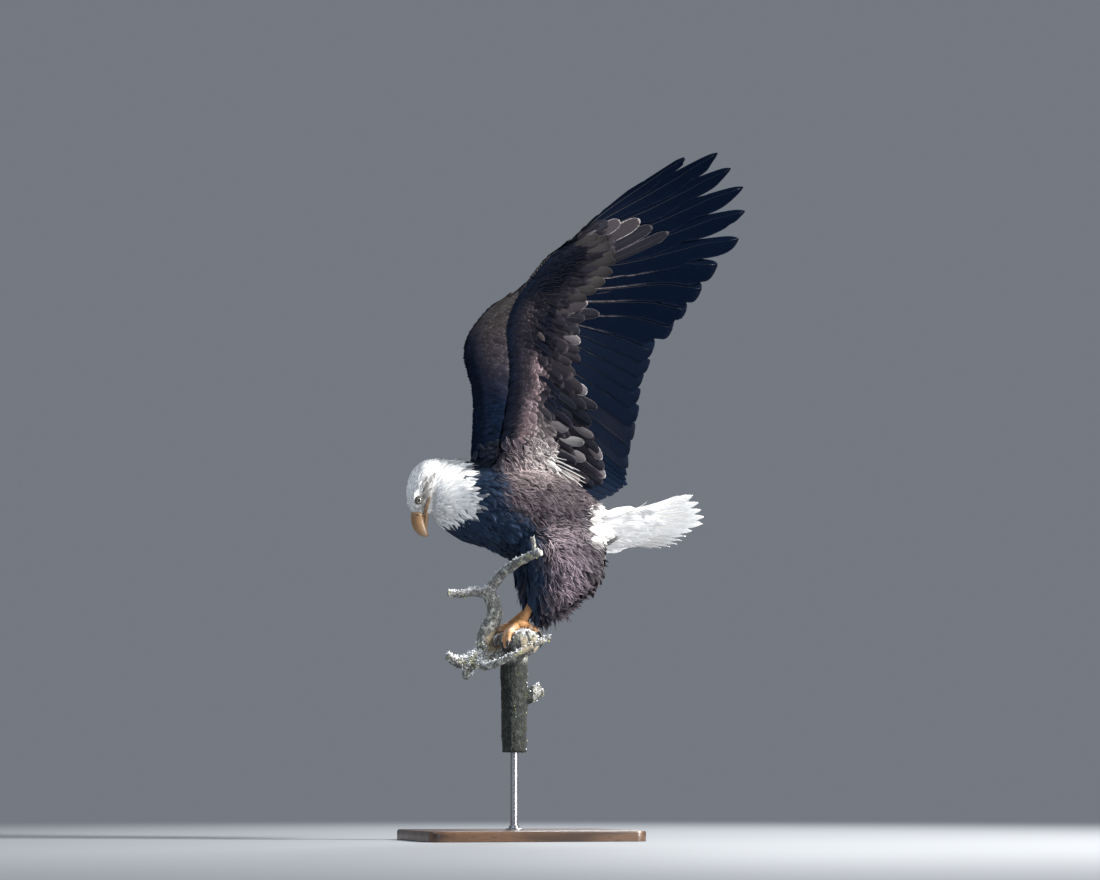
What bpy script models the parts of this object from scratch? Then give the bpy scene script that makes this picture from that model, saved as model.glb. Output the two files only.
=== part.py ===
"""Bald eagle perched with both wings raised, life size, on a short cut of treetop and a stand.

The bird faces -Y, its left side is +X, +Z is up, and the stand's underside lies on Z = 0.
"""
import math

import bmesh
import bpy
import numpy as np
from mathutils import Vector

# ---------------------------------------------------------------- driving sizes, metres
GAP = 0.0004                      # clearance kept between neighbouring solids

# stand
BASE_SIZE = (0.40, 0.50)          # across X, along Y
BASE_HEIGHT = 0.024
BASE_CORNER = 0.030
ROD_RADIUS = 0.009
ROD_SINK = 0.030                  # how far the rod enters the trunk end

# cut piece of treetop
TRUNK_FOOT = (0.0, -0.012, 0.200)
TRUNK_RADIUS = (0.029, 0.033)     # at the sawn end, at the top
LOG_NEAR = (0.075, -0.001, 0.449)  # broken end of the cross piece the feet hold
LOG_FAR = (-0.090, -0.018, 0.446)
LOG_RADIUS = 0.033

# legs
TARSUS_LENGTH = 0.092
TARSUS_RADIUS = 0.0098
FOOT_ALONG = {"left": 0.215, "right": 0.76}      # place on the cross piece, 0 near 1 far
TOE_LENGTHS = (0.058, 0.074, 0.060)              # inner, middle, outer
TOE_SPREAD = (-0.013, 0.003, 0.022)              # sideways drift of each front toe
HALLUX_LENGTH = 0.040
CLAW_LENGTHS = (0.036, 0.034, 0.029)
HALLUX_CLAW = 0.041
TOE_RADIUS = 0.0078
CLAW_RADIUS = 0.0048
TOE_LIFT = {"left": (0.009, 0.0), "right": (0.0, 0.022)}   # off the wood: hind toe, front toes

# wings, in the plane of the spread wing (a: backward, b: along the raised span)
SHOULDER = (0.075, -0.038, 0.864)
LEAN = math.radians(26.0)         # of the raised wing, outward from vertical
WRIST = (-0.014, 0.374)
LEADING = ((-0.038, -0.030), (-0.030, 0.100), (-0.030, 0.215), (-0.048, 0.320),
           (-0.028, 0.400), (0.028, 0.487), (0.092, 0.535))
PRIMARY_REACH = (0.358, 0.383, 0.422, 0.462, 0.535, 0.560, 0.568, 0.565, 0.550, 0.477)
PRIMARY_ANGLE = (-6.0, 6.0, 3.2)  # of the innermost, step to each next, swell in the middle
TRAIL = ((0.303, 0.300), (0.286, 0.160), (0.280, 0.000), (0.272, -0.052), (0.214, -0.088))
FOLD = {"left": 0.0, "right": -5.0}              # extra closing of the hand, degrees
SET_FORWARD = {"left": 0.0, "right": 0.024}      # of the rim near the shoulder
SECONDARIES = 16
PRIMARIES = 10
VANE = 0.0022                     # thickness of the feather sheet
ARM_DEPTH = (0.050, 0.024)        # of the fleshy wing, at the shoulder, at the wrist

# head, measured from the axis through both eyes; f: toward the bill, u: toward the crown
EYE_AXIS = (0.0, -0.247, 0.775)
HEAD_PITCH = math.radians(87.0)
EYE_RADIUS = 0.0105
EYE_OUT = 0.0262

# tail
TAIL_ROOT = (0.0, 0.165, 0.711)
TAIL_RISE = math.radians(4.0)
TAIL_ROLL = math.radians(-33.0)
TAIL_SPREAD = math.radians(25.0)
TAIL_LENGTH = 0.292
RECTRICES = 12

# station rows: y, z of the centre, half width, reach above, reach below
TRUNK_ROWS = (
    (-0.184, 0.784, 0.006, 0.006, 0.006), (-0.176, 0.782, 0.040, 0.046, 0.058),
    (-0.140, 0.782, 0.074, 0.084, 0.098), (-0.083, 0.776, 0.097, 0.096, 0.106),
    (-0.020, 0.768, 0.106, 0.101, 0.118), (0.050, 0.760, 0.103, 0.098, 0.114),
    (0.120, 0.748, 0.086, 0.084, 0.098), (0.175, 0.734, 0.062, 0.058, 0.068),
    (0.225, 0.726, 0.040, 0.034, 0.038), (0.252, 0.726, 0.006, 0.006, 0.006))
NECK_ROWS = (
    (-0.232, 0.822, 0.010, 0.014, 0.018), (-0.220, 0.816, 0.036, 0.042, 0.056),
    (-0.200, 0.808, 0.050, 0.062, 0.086), (-0.160, 0.798, 0.062, 0.071, 0.103),
    (-0.125, 0.792, 0.070, 0.075, 0.104), (-0.105, 0.788, 0.010, 0.014, 0.018))
# station rows along the head: f, half width, crown reach, throat reach
HEAD_ROWS = (
    (-0.1005, 0.006, -0.030, 0.042), (-0.097, 0.026, -0.008, 0.060),
    (-0.078, 0.041, 0.012, 0.068), (-0.050, 0.0445, 0.0235, 0.062),
    (-0.022, 0.0415, 0.0262, 0.056), (0.000, 0.0350, 0.0225, 0.051),
    (0.018, 0.0265, 0.0160, 0.045), (0.030, 0.0180, 0.0110, 0.036),
    (0.034, 0.0060, 0.0020, 0.018))
# station rows down the feathered leg: z, y, x, half depth, half width
THIGH_ROWS = (
    (0.742, 0.085, 0.052, 0.020, 0.012), (0.732, 0.088, 0.054, 0.058, 0.036),
    (0.690, 0.085, 0.060, 0.109, 0.050), (0.636, 0.086, 0.060, 0.107, 0.053),
    (0.594, 0.080, 0.056, 0.091, 0.049), (0.562, 0.062, 0.051, 0.075, 0.042),
    (0.536, 0.044, 0.045, 0.056, 0.033), (0.520, 0.034, 0.040, 0.018, 0.014))
LEG_SHIFT = {"left": 0.0, "right": 0.014}       # forward set of each ankle

FINISHES = {                      # colour, roughness, metallic
    "white": ((0.86, 0.85, 0.82, 1.0), 0.80, 0.0),
    "brown": ((0.060, 0.042, 0.040, 1.0), 0.78, 0.0),
    "flight": ((0.020, 0.021, 0.030, 1.0), 0.60, 0.0),
    "bill": ((0.80, 0.42, 0.09, 1.0), 0.42, 0.0),
    "foot": ((0.78, 0.45, 0.12, 1.0), 0.50, 0.0),
    "claw": ((0.020, 0.019, 0.020, 1.0), 0.30, 0.0),
    "eye": ((0.72, 0.68, 0.50, 1.0), 0.12, 0.0),
    "bark": ((0.23, 0.22, 0.18, 1.0), 0.85, 0.0),
    "steel": ((0.33, 0.34, 0.36, 1.0), 0.32, 1.0),
    "board": ((0.11, 0.09, 0.075, 1.0), 0.50, 0.0),
}


# ---------------------------------------------------------------- small mathematics
def unit(v):
    """v scaled to length one."""
    v = np.asarray(v, float)
    return v / np.linalg.norm(v)


def smooth(rows, count):
    """Catmull-Rom curve through the rows, sampled at count even parameters."""
    rows = np.asarray(rows, float)
    padded = np.vstack([2 * rows[0] - rows[1], rows, 2 * rows[-1] - rows[-2]])
    t = np.linspace(0.0, len(rows) - 1.0, count)
    k = np.minimum(t.astype(int), len(rows) - 2)
    f = (t - k)[:, None]
    p0, p1, p2, p3 = (padded[k + i] for i in range(4))
    return 0.5 * (2 * p1 + (p2 - p0) * f + (2 * p0 - 5 * p1 + 4 * p2 - p3) * f ** 2
                  + (3 * p1 - p0 - 3 * p2 + p3) * f ** 3)


def along(rows, t):
    """Point of the Catmull-Rom curve through the rows at t in 0..1 (array)."""
    table = smooth(rows, 201)
    s = np.linspace(0.0, 1.0, 201)
    return np.stack([np.interp(t, s, table[:, i]) for i in range(table.shape[1])], -1)


# ---------------------------------------------------------------- objects
def add_object(name, verts, faces, finish, flat=False):
    """A mesh object of the given name with its own material."""
    mesh = bpy.data.meshes.new(name)
    mesh.from_pydata([tuple(map(float, v)) for v in verts], [], [tuple(f) for f in faces])
    mesh.update()
    obj = bpy.data.objects.new(name, mesh)
    bpy.context.scene.collection.objects.link(obj)
    bm = bmesh.new()
    bm.from_mesh(mesh)
    bmesh.ops.recalc_face_normals(bm, faces=bm.faces)
    if bm.calc_volume() < 0:
        bmesh.ops.reverse_faces(bm, faces=bm.faces)
    bm.to_mesh(mesh)
    bm.free()
    for poly in mesh.polygons:
        poly.use_smooth = not flat
    colour, rough, metal = FINISHES[finish]
    material = bpy.data.materials.new(name)
    material.use_nodes = True
    shader = material.node_tree.nodes["Principled BSDF"]
    shader.inputs["Base Color"].default_value = colour
    shader.inputs["Roughness"].default_value = rough
    shader.inputs["Metallic"].default_value = metal
    material.diffuse_color = colour
    mesh.materials.append(material)
    return obj


def guide(name, verts, faces):
    """A cutter: never rendered, shown as wire."""
    obj = add_object(name, verts, faces, "board")
    obj.hide_render = True
    obj.display_type = "WIRE"
    return obj


def combine(obj, other, operation):
    """Apply an exact Boolean to obj and drop the other object."""
    mod = obj.modifiers.new("cut", "BOOLEAN")
    mod.operation = operation
    mod.solver = "EXACT"
    mod.object = other
    graph = bpy.context.evaluated_depsgraph_get()
    mesh = bpy.data.meshes.new_from_object(obj.evaluated_get(graph))
    obj.modifiers.clear()
    old = obj.data
    material = old.materials[0]
    obj.data = mesh
    mesh.materials.clear()
    mesh.materials.append(material)
    for poly in mesh.polygons:
        poly.material_index = 0
    bpy.data.meshes.remove(old)
    bpy.data.objects.remove(other)
    clean(obj)


def clean(obj):
    """Merge stray doubles and keep only the largest connected body."""
    bm = bmesh.new()
    bm.from_mesh(obj.data)
    bmesh.ops.remove_doubles(bm, verts=bm.verts, dist=2e-6)
    bmesh.ops.dissolve_degenerate(bm, edges=bm.edges, dist=2e-6)
    bm.faces.ensure_lookup_table()
    seen, shells = set(), []
    for face in bm.faces:
        if face.index in seen:
            continue
        shell, stack = [], [face]
        seen.add(face.index)
        while stack:
            f = stack.pop()
            shell.append(f)
            for edge in f.edges:
                for g in edge.link_faces:
                    if g.index not in seen:
                        seen.add(g.index)
                        stack.append(g)
        shells.append(shell)
    shells.sort(key=lambda s: sum(f.calc_area() for f in s))
    loose = [f for s in shells[:-1] for f in s]
    if loose:
        bmesh.ops.delete(bm, geom=loose, context="FACES")
    bmesh.ops.triangulate(bm, faces=[f for f in bm.faces if len(f.verts) > 4])
    bm.to_mesh(obj.data)
    bm.free()


# ---------------------------------------------------------------- surfaces
def tube(rings):
    """Vertices and faces of a body through rings (n, m, 3) closed by a point at each end."""
    n, m, _ = rings.shape
    verts = list(rings.reshape(-1, 3)) + [rings[0].mean(0), rings[-1].mean(0)]
    faces = [(i * m + j, i * m + (j + 1) % m, (i + 1) * m + (j + 1) % m, (i + 1) * m + j)
             for i in range(n - 1) for j in range(m)]
    faces += [(n * m, (j + 1) % m, j) for j in range(m)]
    faces += [(n * m + 1, (n - 1) * m + j, (n - 1) * m + (j + 1) % m) for j in range(m)]
    return verts, faces


def sweep(path, radii, sides, wide=None, up=(0.0, 0.0, 1.0)):
    """Rings of round (or wide) section carried along a path."""
    path = np.asarray(path, float)
    radii = np.asarray(radii, float)
    wide = radii if wide is None else np.asarray(wide, float)
    tangent = np.gradient(path, axis=0)
    tangent /= np.linalg.norm(tangent, axis=1)[:, None]
    side = np.cross(tangent, np.asarray(up, float))
    side /= np.linalg.norm(side, axis=1)[:, None]
    top = np.cross(side, tangent)
    a = np.arange(sides) * 2 * math.pi / sides
    return (path[:, None] + np.cos(a)[None, :, None] * side[:, None] * wide[:, None, None]
            + np.sin(a)[None, :, None] * top[:, None] * radii[:, None, None])


def body_rings(rows, count, sides, grow=0.0):
    """Upright egg sections along Y with separate reach above and below."""
    s = smooth(rows, count)
    s[0, 0] -= grow
    s[-1, 0] += grow
    a = np.arange(sides) * 2 * math.pi / sides
    reach = np.where(np.sin(a)[None] >= 0, s[:, 3:4], s[:, 4:5]) + grow
    x = (s[:, 2:3] + grow) * np.cos(a)[None]
    y = np.repeat(s[:, 0:1], sides, 1)
    z = s[:, 1:2] + reach * np.sin(a)[None]
    return np.stack([x, y, z], -1)


def head_frame():
    """Origin on the eye axis and the unit vectors f (bill) and u (crown)."""
    f = np.array([0.0, -math.cos(HEAD_PITCH), -math.sin(HEAD_PITCH)])
    u = np.array([0.0, -math.sin(HEAD_PITCH), math.cos(HEAD_PITCH)])
    return np.array(EYE_AXIS), f, u


def head_rings(count, sides, grow=0.0):
    """Sections across the head, flat under the brow, from the crown down to the bill."""
    o, f, u = head_frame()
    s = smooth(HEAD_ROWS, count)
    s[0, 0] -= grow
    s[-1, 0] += grow
    a = np.arange(sides) * 2 * math.pi / sides
    high = (s[:, 2:3] + s[:, 3:4]) / 2 + grow
    mid = (s[:, 2:3] - s[:, 3:4]) / 2
    x = (s[:, 1:2] + grow) * np.sign(np.cos(a)) * np.abs(np.cos(a)) ** 0.92
    v = mid + high * np.sign(np.sin(a)) * np.abs(np.sin(a)) ** 0.92
    centre = o + s[:, 0:1] * f
    return centre[:, None] + x[..., None] * np.array([1.0, 0, 0]) + v[..., None] * u


def thigh_rings(side, count, sides, grow=0.0):
    """Level sections down the feathered leg."""
    sign = 1.0 if side == "left" else -1.0
    s = smooth(THIGH_ROWS, count)
    s[0, 0] += grow
    s[-1, 0] -= grow
    drop = (THIGH_ROWS[0][0] - s[:, 0]) / (THIGH_ROWS[0][0] - THIGH_ROWS[-1][0])
    y0 = s[:, 1] + LEG_SHIFT[side] * drop
    a = np.arange(sides) * 2 * math.pi / sides
    x = sign * (s[:, 2:3] + (s[:, 4:5] + grow) * np.cos(a)[None])
    y = y0[:, None] + (s[:, 3:4] + grow) * np.sin(a)[None]
    z = np.repeat(s[:, 0:1], sides, 1)
    return np.stack([x, y, z], -1)


def thick_sheet(mid, normal, half, cells):
    """Closed body around a sheet of quads: both faces and the walls of its open edges."""
    mid, normal = np.asarray(mid, float), np.asarray(normal, float)
    half = np.asarray(half, float)[:, None]
    n = len(mid)
    verts = np.vstack([mid + normal * half, mid - normal * half])
    faces = [tuple(c) for c in cells] + [tuple(n + i for i in reversed(c)) for c in cells]
    directed = {}
    for c in cells:
        for i in range(len(c)):
            directed[(c[i], c[(i + 1) % len(c)])] = True
    for (i, j) in list(directed):
        if (j, i) not in directed:
            faces.append((j, i, n + i, n + j))
    return verts, faces


# ---------------------------------------------------------------- wings
def leading_edge(q):
    """Front rim of the wing at feather number q (-0.5 inner end .. 25.5 outer end)."""
    t_wrist = 4.0 / (len(LEADING) - 1)
    inner = (q + 0.5) / SECONDARIES
    outer = (q + 0.5 - SECONDARIES) / PRIMARIES
    t = np.where(inner <= 1.0, inner * t_wrist, t_wrist + (1 - t_wrist) * outer)
    return along(LEADING, np.clip(t, 0.0, 1.0))


def trailing_tip(q):
    """Tip line of the flight feathers at feather number q, before scalloping."""
    q = np.asarray(q, float)
    inner = np.clip(1.0 - (q + 0.5) / (SECONDARIES + 0.0), 0.0, 1.0)
    sec = along(TRAIL, inner ** 0.95)
    number = q - SECONDARIES
    reach = np.interp(number, np.arange(PRIMARIES), PRIMARY_REACH)
    fan = np.minimum(number, PRIMARIES - 0.85)
    ang = np.radians(PRIMARY_ANGLE[0] + PRIMARY_ANGLE[1] * fan
                     + PRIMARY_ANGLE[2] * np.sin(math.pi * np.clip(fan / 9.0, 0.0, 1.0)))
    pri = np.stack([WRIST[0] + reach * np.cos(ang), WRIST[1] + reach * np.sin(ang)], -1)
    w = np.clip(q - (SECONDARIES - 1), 0.0, 1.0)[..., None]
    return sec * (1 - w) + pri * w


def wing_point(q, v, side):
    """Place on the wing's middle sheet for feather number q and chord fraction v."""
    q, v = np.broadcast_arrays(np.asarray(q, float), np.asarray(v, float))
    lead, tip = leading_edge(q), trailing_tip(q)
    lead = lead - SET_FORWARD[side] * (1 - smoothstep(lead[..., 1:2] / 0.34)) * np.array([1.0, 0])
    flat = lead + (tip - lead) * v[..., None]
    away = tip - lead
    across = np.stack([-away[..., 1], away[..., 0]], -1)
    outer = np.clip((q - SECONDARIES + 1) / PRIMARIES, 0.0, 1.0)
    bow = 0.004 * outer * np.sin(math.pi * np.clip(v, 0, 1))
    flat = flat + across * bow[..., None]
    turn = np.radians(FOLD[side]) * smoothstep((q - SECONDARIES + 4) / 6.0)
    rel = flat - np.array(WRIST)
    c, s = np.cos(turn), np.sin(turn)
    flat = np.stack([rel[..., 0] * c - rel[..., 1] * s,
                     rel[..., 0] * s + rel[..., 1] * c], -1) + np.array(WRIST)
    rise = -0.030 * np.sin(math.pi * np.clip(v, 0, 1) ** 0.8) - 0.012 * outer * v ** 2
    return plane_to_world(flat, rise, side)


def smoothstep(t):
    """0 to 1 with level ends."""
    t = np.clip(t, 0.0, 1.0)
    return t * t * (3 - 2 * t)


def plane_to_world(flat, rise, side):
    """Wing-plane place and height toward the underside, in world axes."""
    span = np.array([math.sin(LEAN), 0.0, math.cos(LEAN)])
    under = np.array([math.cos(LEAN), 0.0, -math.sin(LEAN)])
    p = (np.array(SHOULDER) + flat[..., 0:1] * np.array([0.0, 1.0, 0.0])
         + flat[..., 1:2] * span + np.asarray(rise)[..., None] * under)
    return p * np.array([1.0 if side == "left" else -1.0, 1.0, 1.0])


def wing_normal(q, v, side):
    """Unit normal of the middle sheet, toward the underside."""
    e = 1e-3
    dq = wing_point(np.asarray(q) + e, v, side) - wing_point(np.asarray(q) - e, v, side)
    dv = wing_point(q, np.asarray(v) + e, side) - wing_point(q, np.asarray(v) - e, side)
    n = np.cross(dq, dv)
    n /= np.linalg.norm(n, axis=-1, keepdims=True)
    out = np.array([1.0 if side == "left" else -1.0, 0.0, -0.4])
    return n * np.sign(n @ out)[..., None]


def wing_half(q, v):
    """Half thickness of the wing at feather number q and chord fraction v."""
    depth = np.interp(q, [-0.5, SECONDARIES, SECONDARIES + PRIMARIES - 0.5],
                      [ARM_DEPTH[0], ARM_DEPTH[1], 0.010])
    shape = np.interp(v, [0.0, 0.02, 0.08, 0.2, 0.34, 0.52, 1.0],
                      [0.10, 0.42, 0.86, 1.0, 0.62, 0.16, 0.0])
    return np.maximum(depth * shape / 2, VANE / 2)


def panel(side, q_values, v_values, name, finish):
    """A thick piece of the wing over a plain grid of feather numbers and chord fractions."""
    q, v = np.meshgrid(q_values, v_values, indexing="ij")
    mid, nor = wing_point(q, v, side), wing_normal(q, v, side)
    n, m = q.shape
    cells = [(i * m + j, (i + 1) * m + j, (i + 1) * m + j + 1, i * m + j + 1)
             for i in range(n - 1) for j in range(m - 1)]
    verts, faces = thick_sheet(mid.reshape(-1, 3), nor.reshape(-1, 3),
                               wing_half(q, v).ravel(), cells)
    return add_object(name, verts, faces, finish)


def feather_comb(side, first, last, v_start, v_slots, base_rows, finger_rows, name, start_gap):
    """Feathers first..last as one sheet that parts into separate tips beyond each slot."""
    q_list, v_list, half, cells = [], [], [], []

    def put(q, v):
        q_list.append(q)
        v_list.append(v)
        half.append(float(wing_half(q, v)))
        return len(q_list) - 1

    shared = {}

    def edge_column(k):
        """Rows down the common edge before feather k."""
        if k not in shared:
            q = k - 0.5 + (start_gap[0] if k == first else 0.0)
            q -= start_gap[1] if k == last + 1 else 0.0
            depth = min(v_slots[i - first] for i in (k - 1, k) if first <= i <= last)
            shared[k] = [put(q, v_start + (depth - v_start) * r / base_rows)
                         for r in range(base_rows + 1)]
        return shared[k]

    for i in range(first, last + 1):
        left, right = edge_column(i), edge_column(i + 1)
        for r in range(base_rows):
            cells.append((left[r], left[r + 1], right[r + 1], right[r]))
        edge_l, edge_r = left[-1], right[-1]
        slot = v_slots[i - first]
        for t in finger_rows:
            width = 0.47 * math.sqrt(max(0.0, 1.0 - t ** 2.4)) * (0.86 if slot < 0.9 else 0.97)
            new_l, new_r = (put(i + w, slot + (1.0 - slot) * t) for w in (-width, width))
            cells.append((edge_l, new_l, new_r, edge_r))
            edge_l, edge_r = new_l, new_r
        cells.append((edge_l, put(float(i), 1.0), edge_r))
    q, v = np.array(q_list), np.array(v_list)
    verts, faces = thick_sheet(wing_point(q, v, side), wing_normal(q, v, side), half, cells)
    return add_object(name, verts, faces, "flight")


def build_wing(side):
    """Arm, hand, secondaries and primaries of one wing."""
    seam = 0.010                                  # in feather numbers, about GAP wide
    v_gap = 0.0016
    v_arm, v_hand = 0.50, 0.30
    arm_q = np.arange(SECONDARIES + 1) - 0.5
    arm_q[-1] -= seam
    arm = panel(side, arm_q, (0.0, 0.03, 0.12, 0.32, v_arm - v_gap), f"wing_{side}_arm", "brown")
    hand_q = np.arange(PRIMARIES + 1) + SECONDARIES - 0.5
    hand_q[0] += seam
    panel(side, hand_q, (0.0, 0.03, 0.14, v_hand - v_gap), f"wing_{side}_hand", "brown")
    slots_sec = [0.965] * SECONDARIES
    secondaries = feather_comb(side, 0, SECONDARIES - 1, v_arm + v_gap, slots_sec, 2, (0.6,),
                               f"wing_{side}_secondaries", (0.0, seam))
    slots_pri = [0.95, 0.945, 0.93, 0.90, 0.745, 0.725, 0.71, 0.71, 0.725, 0.80]
    feather_comb(side, SECONDARIES, SECONDARIES + PRIMARIES - 1, v_hand + v_gap, slots_pri, 3,
                 (0.3, 0.62, 0.88), f"wing_{side}_primaries", (seam, 0.0))
    return arm, secondaries


# ---------------------------------------------------------------- tail
def build_tail():
    """Fan of twelve tail feathers with the soft coverts under their roots."""
    axis = np.array([0.0, math.cos(TAIL_RISE), math.sin(TAIL_RISE)])
    flat = np.array([math.cos(TAIL_ROLL), 0.0, -math.sin(TAIL_ROLL)])
    across = unit(flat - axis * (flat @ axis))
    normal = np.cross(axis, across)
    root = np.array(TAIL_ROOT)

    def place(k, r):
        """Feather number k (0..11, half numbers are edges) at distance fraction r."""
        k, r = np.asarray(k, float), np.asarray(r, float)
        c = (k - (RECTRICES - 1) / 2) / ((RECTRICES - 1) / 2)
        ang = c * TAIL_SPREAD * (0.42 + 0.58 * r)
        length = TAIL_LENGTH * (1.0 - 0.10 * np.abs(c) ** 2)
        dist = r * length
        curl = -0.012 * r ** 2 * (1 - 0.4 * c ** 2) + 0.020 * (c ** 2) * r
        return (root + dist[..., None] * (np.cos(ang)[..., None] * axis
                + np.sin(ang)[..., None] * across)
                + (0.060 * c * (1 - r))[..., None] * across - curl[..., None] * normal)

    mids, half, cells = [], [], []

    def put(k, r):
        mids.append((k, r))
        thick = np.interp(r, [0.0, 0.12, 0.30, 0.50, 0.66, 1.0],
                          [0.020, 0.023, 0.015, 0.005, 0.0016, 0.001])
        side = 1.0 - 0.75 * abs((k - (RECTRICES - 1) / 2) / (RECTRICES / 2)) ** 3
        half.append(max(float(thick) * side, 0.001))
        return len(mids) - 1

    rows = (0.0, 0.12, 0.30, 0.55, 0.90)
    edges = [[put(k - 0.5, r) for r in rows] for k in range(RECTRICES + 1)]
    for k in range(RECTRICES):
        left, right = edges[k], edges[k + 1]
        for r in range(len(rows) - 1):
            cells.append((left[r], left[r + 1], right[r + 1], right[r]))
        l2, r2 = put(k - 0.36, 0.965), put(k + 0.36, 0.965)
        cells.append((left[-1], l2, r2, right[-1]))
        cells.append((l2, put(float(k), 1.0), r2))
    data = np.array(mids)
    verts, faces = thick_sheet(place(data[:, 0], data[:, 1]),
                               np.repeat(normal[None], len(data), 0), half, cells)
    return add_object("tail", verts, faces, "white")


# ---------------------------------------------------------------- bill and eyes
def bill_rings(rows, count, sides, grow=0.0):
    """Sections f, u of the centre, half width, half depth, tilt of the section in degrees."""
    o, f, u = head_frame()
    s = smooth(rows, count)
    a = np.arange(sides) * 2 * math.pi / sides
    tilt = np.radians(s[:, 4])
    axis_u = np.cos(tilt)[:, None] * u + np.sin(tilt)[:, None] * f
    centre = o + s[:, 0:1] * f + s[:, 1:2] * u
    x = (s[:, 2:3] + grow) * np.cos(a)[None]
    w = (s[:, 3:4] + grow) * np.sin(a)[None]
    return centre[:, None] + x[..., None] * np.array([1.0, 0, 0]) + w[..., None] * axis_u[:, None]


UPPER_BILL = (
    (0.016, -0.004, 0.0100, 0.0100, 0.0), (0.030, -0.0055, 0.0150, 0.0152, 0.0),
    (0.046, -0.0060, 0.0122, 0.0150, 6.0), (0.060, -0.0105, 0.0098, 0.0140, 24.0),
    (0.0705, -0.0175, 0.0068, 0.0105, 50.0), (0.0765, -0.0262, 0.0036, 0.0058, 78.0),
    (0.0775, -0.0330, 0.0010, 0.0014, 92.0))
LOWER_BILL = (
    (0.006, -0.0260, 0.0090, 0.0040, 0.0), (0.024, -0.0262, 0.0128, 0.0062, 0.0),
    (0.042, -0.0258, 0.0104, 0.0054, 0.0), (0.058, -0.0272, 0.0062, 0.0036, 0.0),
    (0.0635, -0.0278, 0.0018, 0.0014, 0.0))


def build_bill():
    """Hooked upper bill and the shorter lower bill tucked beneath it."""
    upper = add_object("bill_upper", *tube(bill_rings(UPPER_BILL, 10, 12)), "bill")
    lower = add_object("bill_lower", *tube(bill_rings(LOWER_BILL, 6, 10)), "bill")
    combine(lower, guide("c", *tube(bill_rings(UPPER_BILL, 10, 12, GAP))), "DIFFERENCE")
    return upper, lower


def eye_centre(side):
    """Centre of one eyeball."""
    return np.array(EYE_AXIS) + np.array([EYE_OUT if side == "left" else -EYE_OUT, 0.0, 0.0])


def ball(centre, radius, rows, sides):
    """Sphere as rings closed at both ends, poles along X."""
    t = np.linspace(0.12, math.pi - 0.12, rows)
    a = np.arange(sides) * 2 * math.pi / sides
    x = radius * np.cos(t)[:, None] * np.ones(sides)[None]
    y = radius * np.sin(t)[:, None] * np.cos(a)[None]
    z = radius * np.sin(t)[:, None] * np.sin(a)[None]
    return np.stack([x, y, z], -1) + np.asarray(centre)


# ---------------------------------------------------------------- legs and feet
def log_frame():
    """Start, direction, forward and upward unit vectors and length of the cross piece."""
    start, end = np.array(LOG_NEAR), np.array(LOG_FAR)
    d = unit(end - start)
    up = unit(np.array([0.0, 0.0, 1.0]) - d * d[2])
    forward = np.cross(up, d)
    if forward[1] > 0:
        forward = -forward
    return start, d, forward, up, float(np.linalg.norm(end - start))


def wrap_path(side, start_angle, end_angle, drift, heights, count):
    """Path laid round the cross piece from one angle to another, lifted by heights."""
    start, d, forward, up, length = log_frame()
    t = np.linspace(0.0, 1.0, count)
    ang = start_angle + (end_angle - start_angle) * t
    lift = LOG_RADIUS + np.interp(t, np.linspace(0, 1, len(heights)), heights)
    sideways = -drift * (t if side == "left" else -t)
    base = start + d * (FOOT_ALONG[side] * length)
    return (base + sideways[:, None] * d + (lift * np.sin(ang))[:, None] * forward
            + (lift * np.cos(ang))[:, None] * up)


def ankle(side):
    """Upper end of the bare shank."""
    start, d, forward, up, length = log_frame()
    foot = start + d * (FOOT_ALONG[side] * length) + up * (LOG_RADIUS + 0.012)
    lean = unit(np.array([0.03, 0.44, 0.86] if side == "left" else [-0.03, 0.76, 0.62]))
    return foot, foot + lean * TARSUS_LENGTH


def build_leg(side, perch):
    """Shank, foot and four claws of one leg, trimmed where they would enter the wood."""
    foot, top = ankle(side)
    t = np.linspace(0, 1, 5)[:, None]
    shank = add_object(f"tarsus_{side}", *tube(sweep(
        foot + (top - foot) * t, [0.0100, 0.0092, 0.0095, 0.0105, 0.0090], 9, up=(1.0, 0, 0))), "foot")
    inner = wrap_path(side, 0.35, -0.35, 0.0, (0.0105, 0.0125, 0.0105), 5)
    pad = add_object(f"foot_{side}", *tube(sweep(
        inner, [0.0070, 0.0100, 0.0104, 0.0098, 0.0070], 10, wide=[0.010, 0.015, 0.016, 0.014, 0.009],
    )), "foot")
    r = TOE_RADIUS
    claws = []
    for number in range(4):
        length = HALLUX_LENGTH if number == 0 else TOE_LENGTHS[number - 1]
        drift = 0.0 if number == 0 else TOE_SPREAD[number - 1]
        way = -1.0 if number == 0 else 1.0
        lift = TOE_LIFT[side][0 if number == 0 else 1]
        end = way * (length / (LOG_RADIUS + r + lift / 2) + 0.06)
        heights = np.array([1.15, 1.12, 1.0, 0.92, 0.86]) * r + lift * np.linspace(0, 1, 5) ** 2
        path = wrap_path(side, 0.02 * way, end, drift, heights, 6)
        toe = guide("t", *tube(sweep(path, [r * k for k in (0.8, 1.08, 1.0, 0.96, 0.86, 0.6)], 6)))
        combine(pad, toe, "UNION")
        claw_length = HALLUX_CLAW if number == 0 else CLAW_LENGTHS[number - 1]
        claws.append(add_claw(side, number, claw_line(side, end, claw_length, drift, way, lift)))
    for piece in [pad] + claws:
        combine(piece, guide("w", *grown(perch, GAP)), "DIFFERENCE")
    combine(shank, guide("f", *grown(pad, GAP)), "DIFFERENCE")
    return shank, pad


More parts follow.
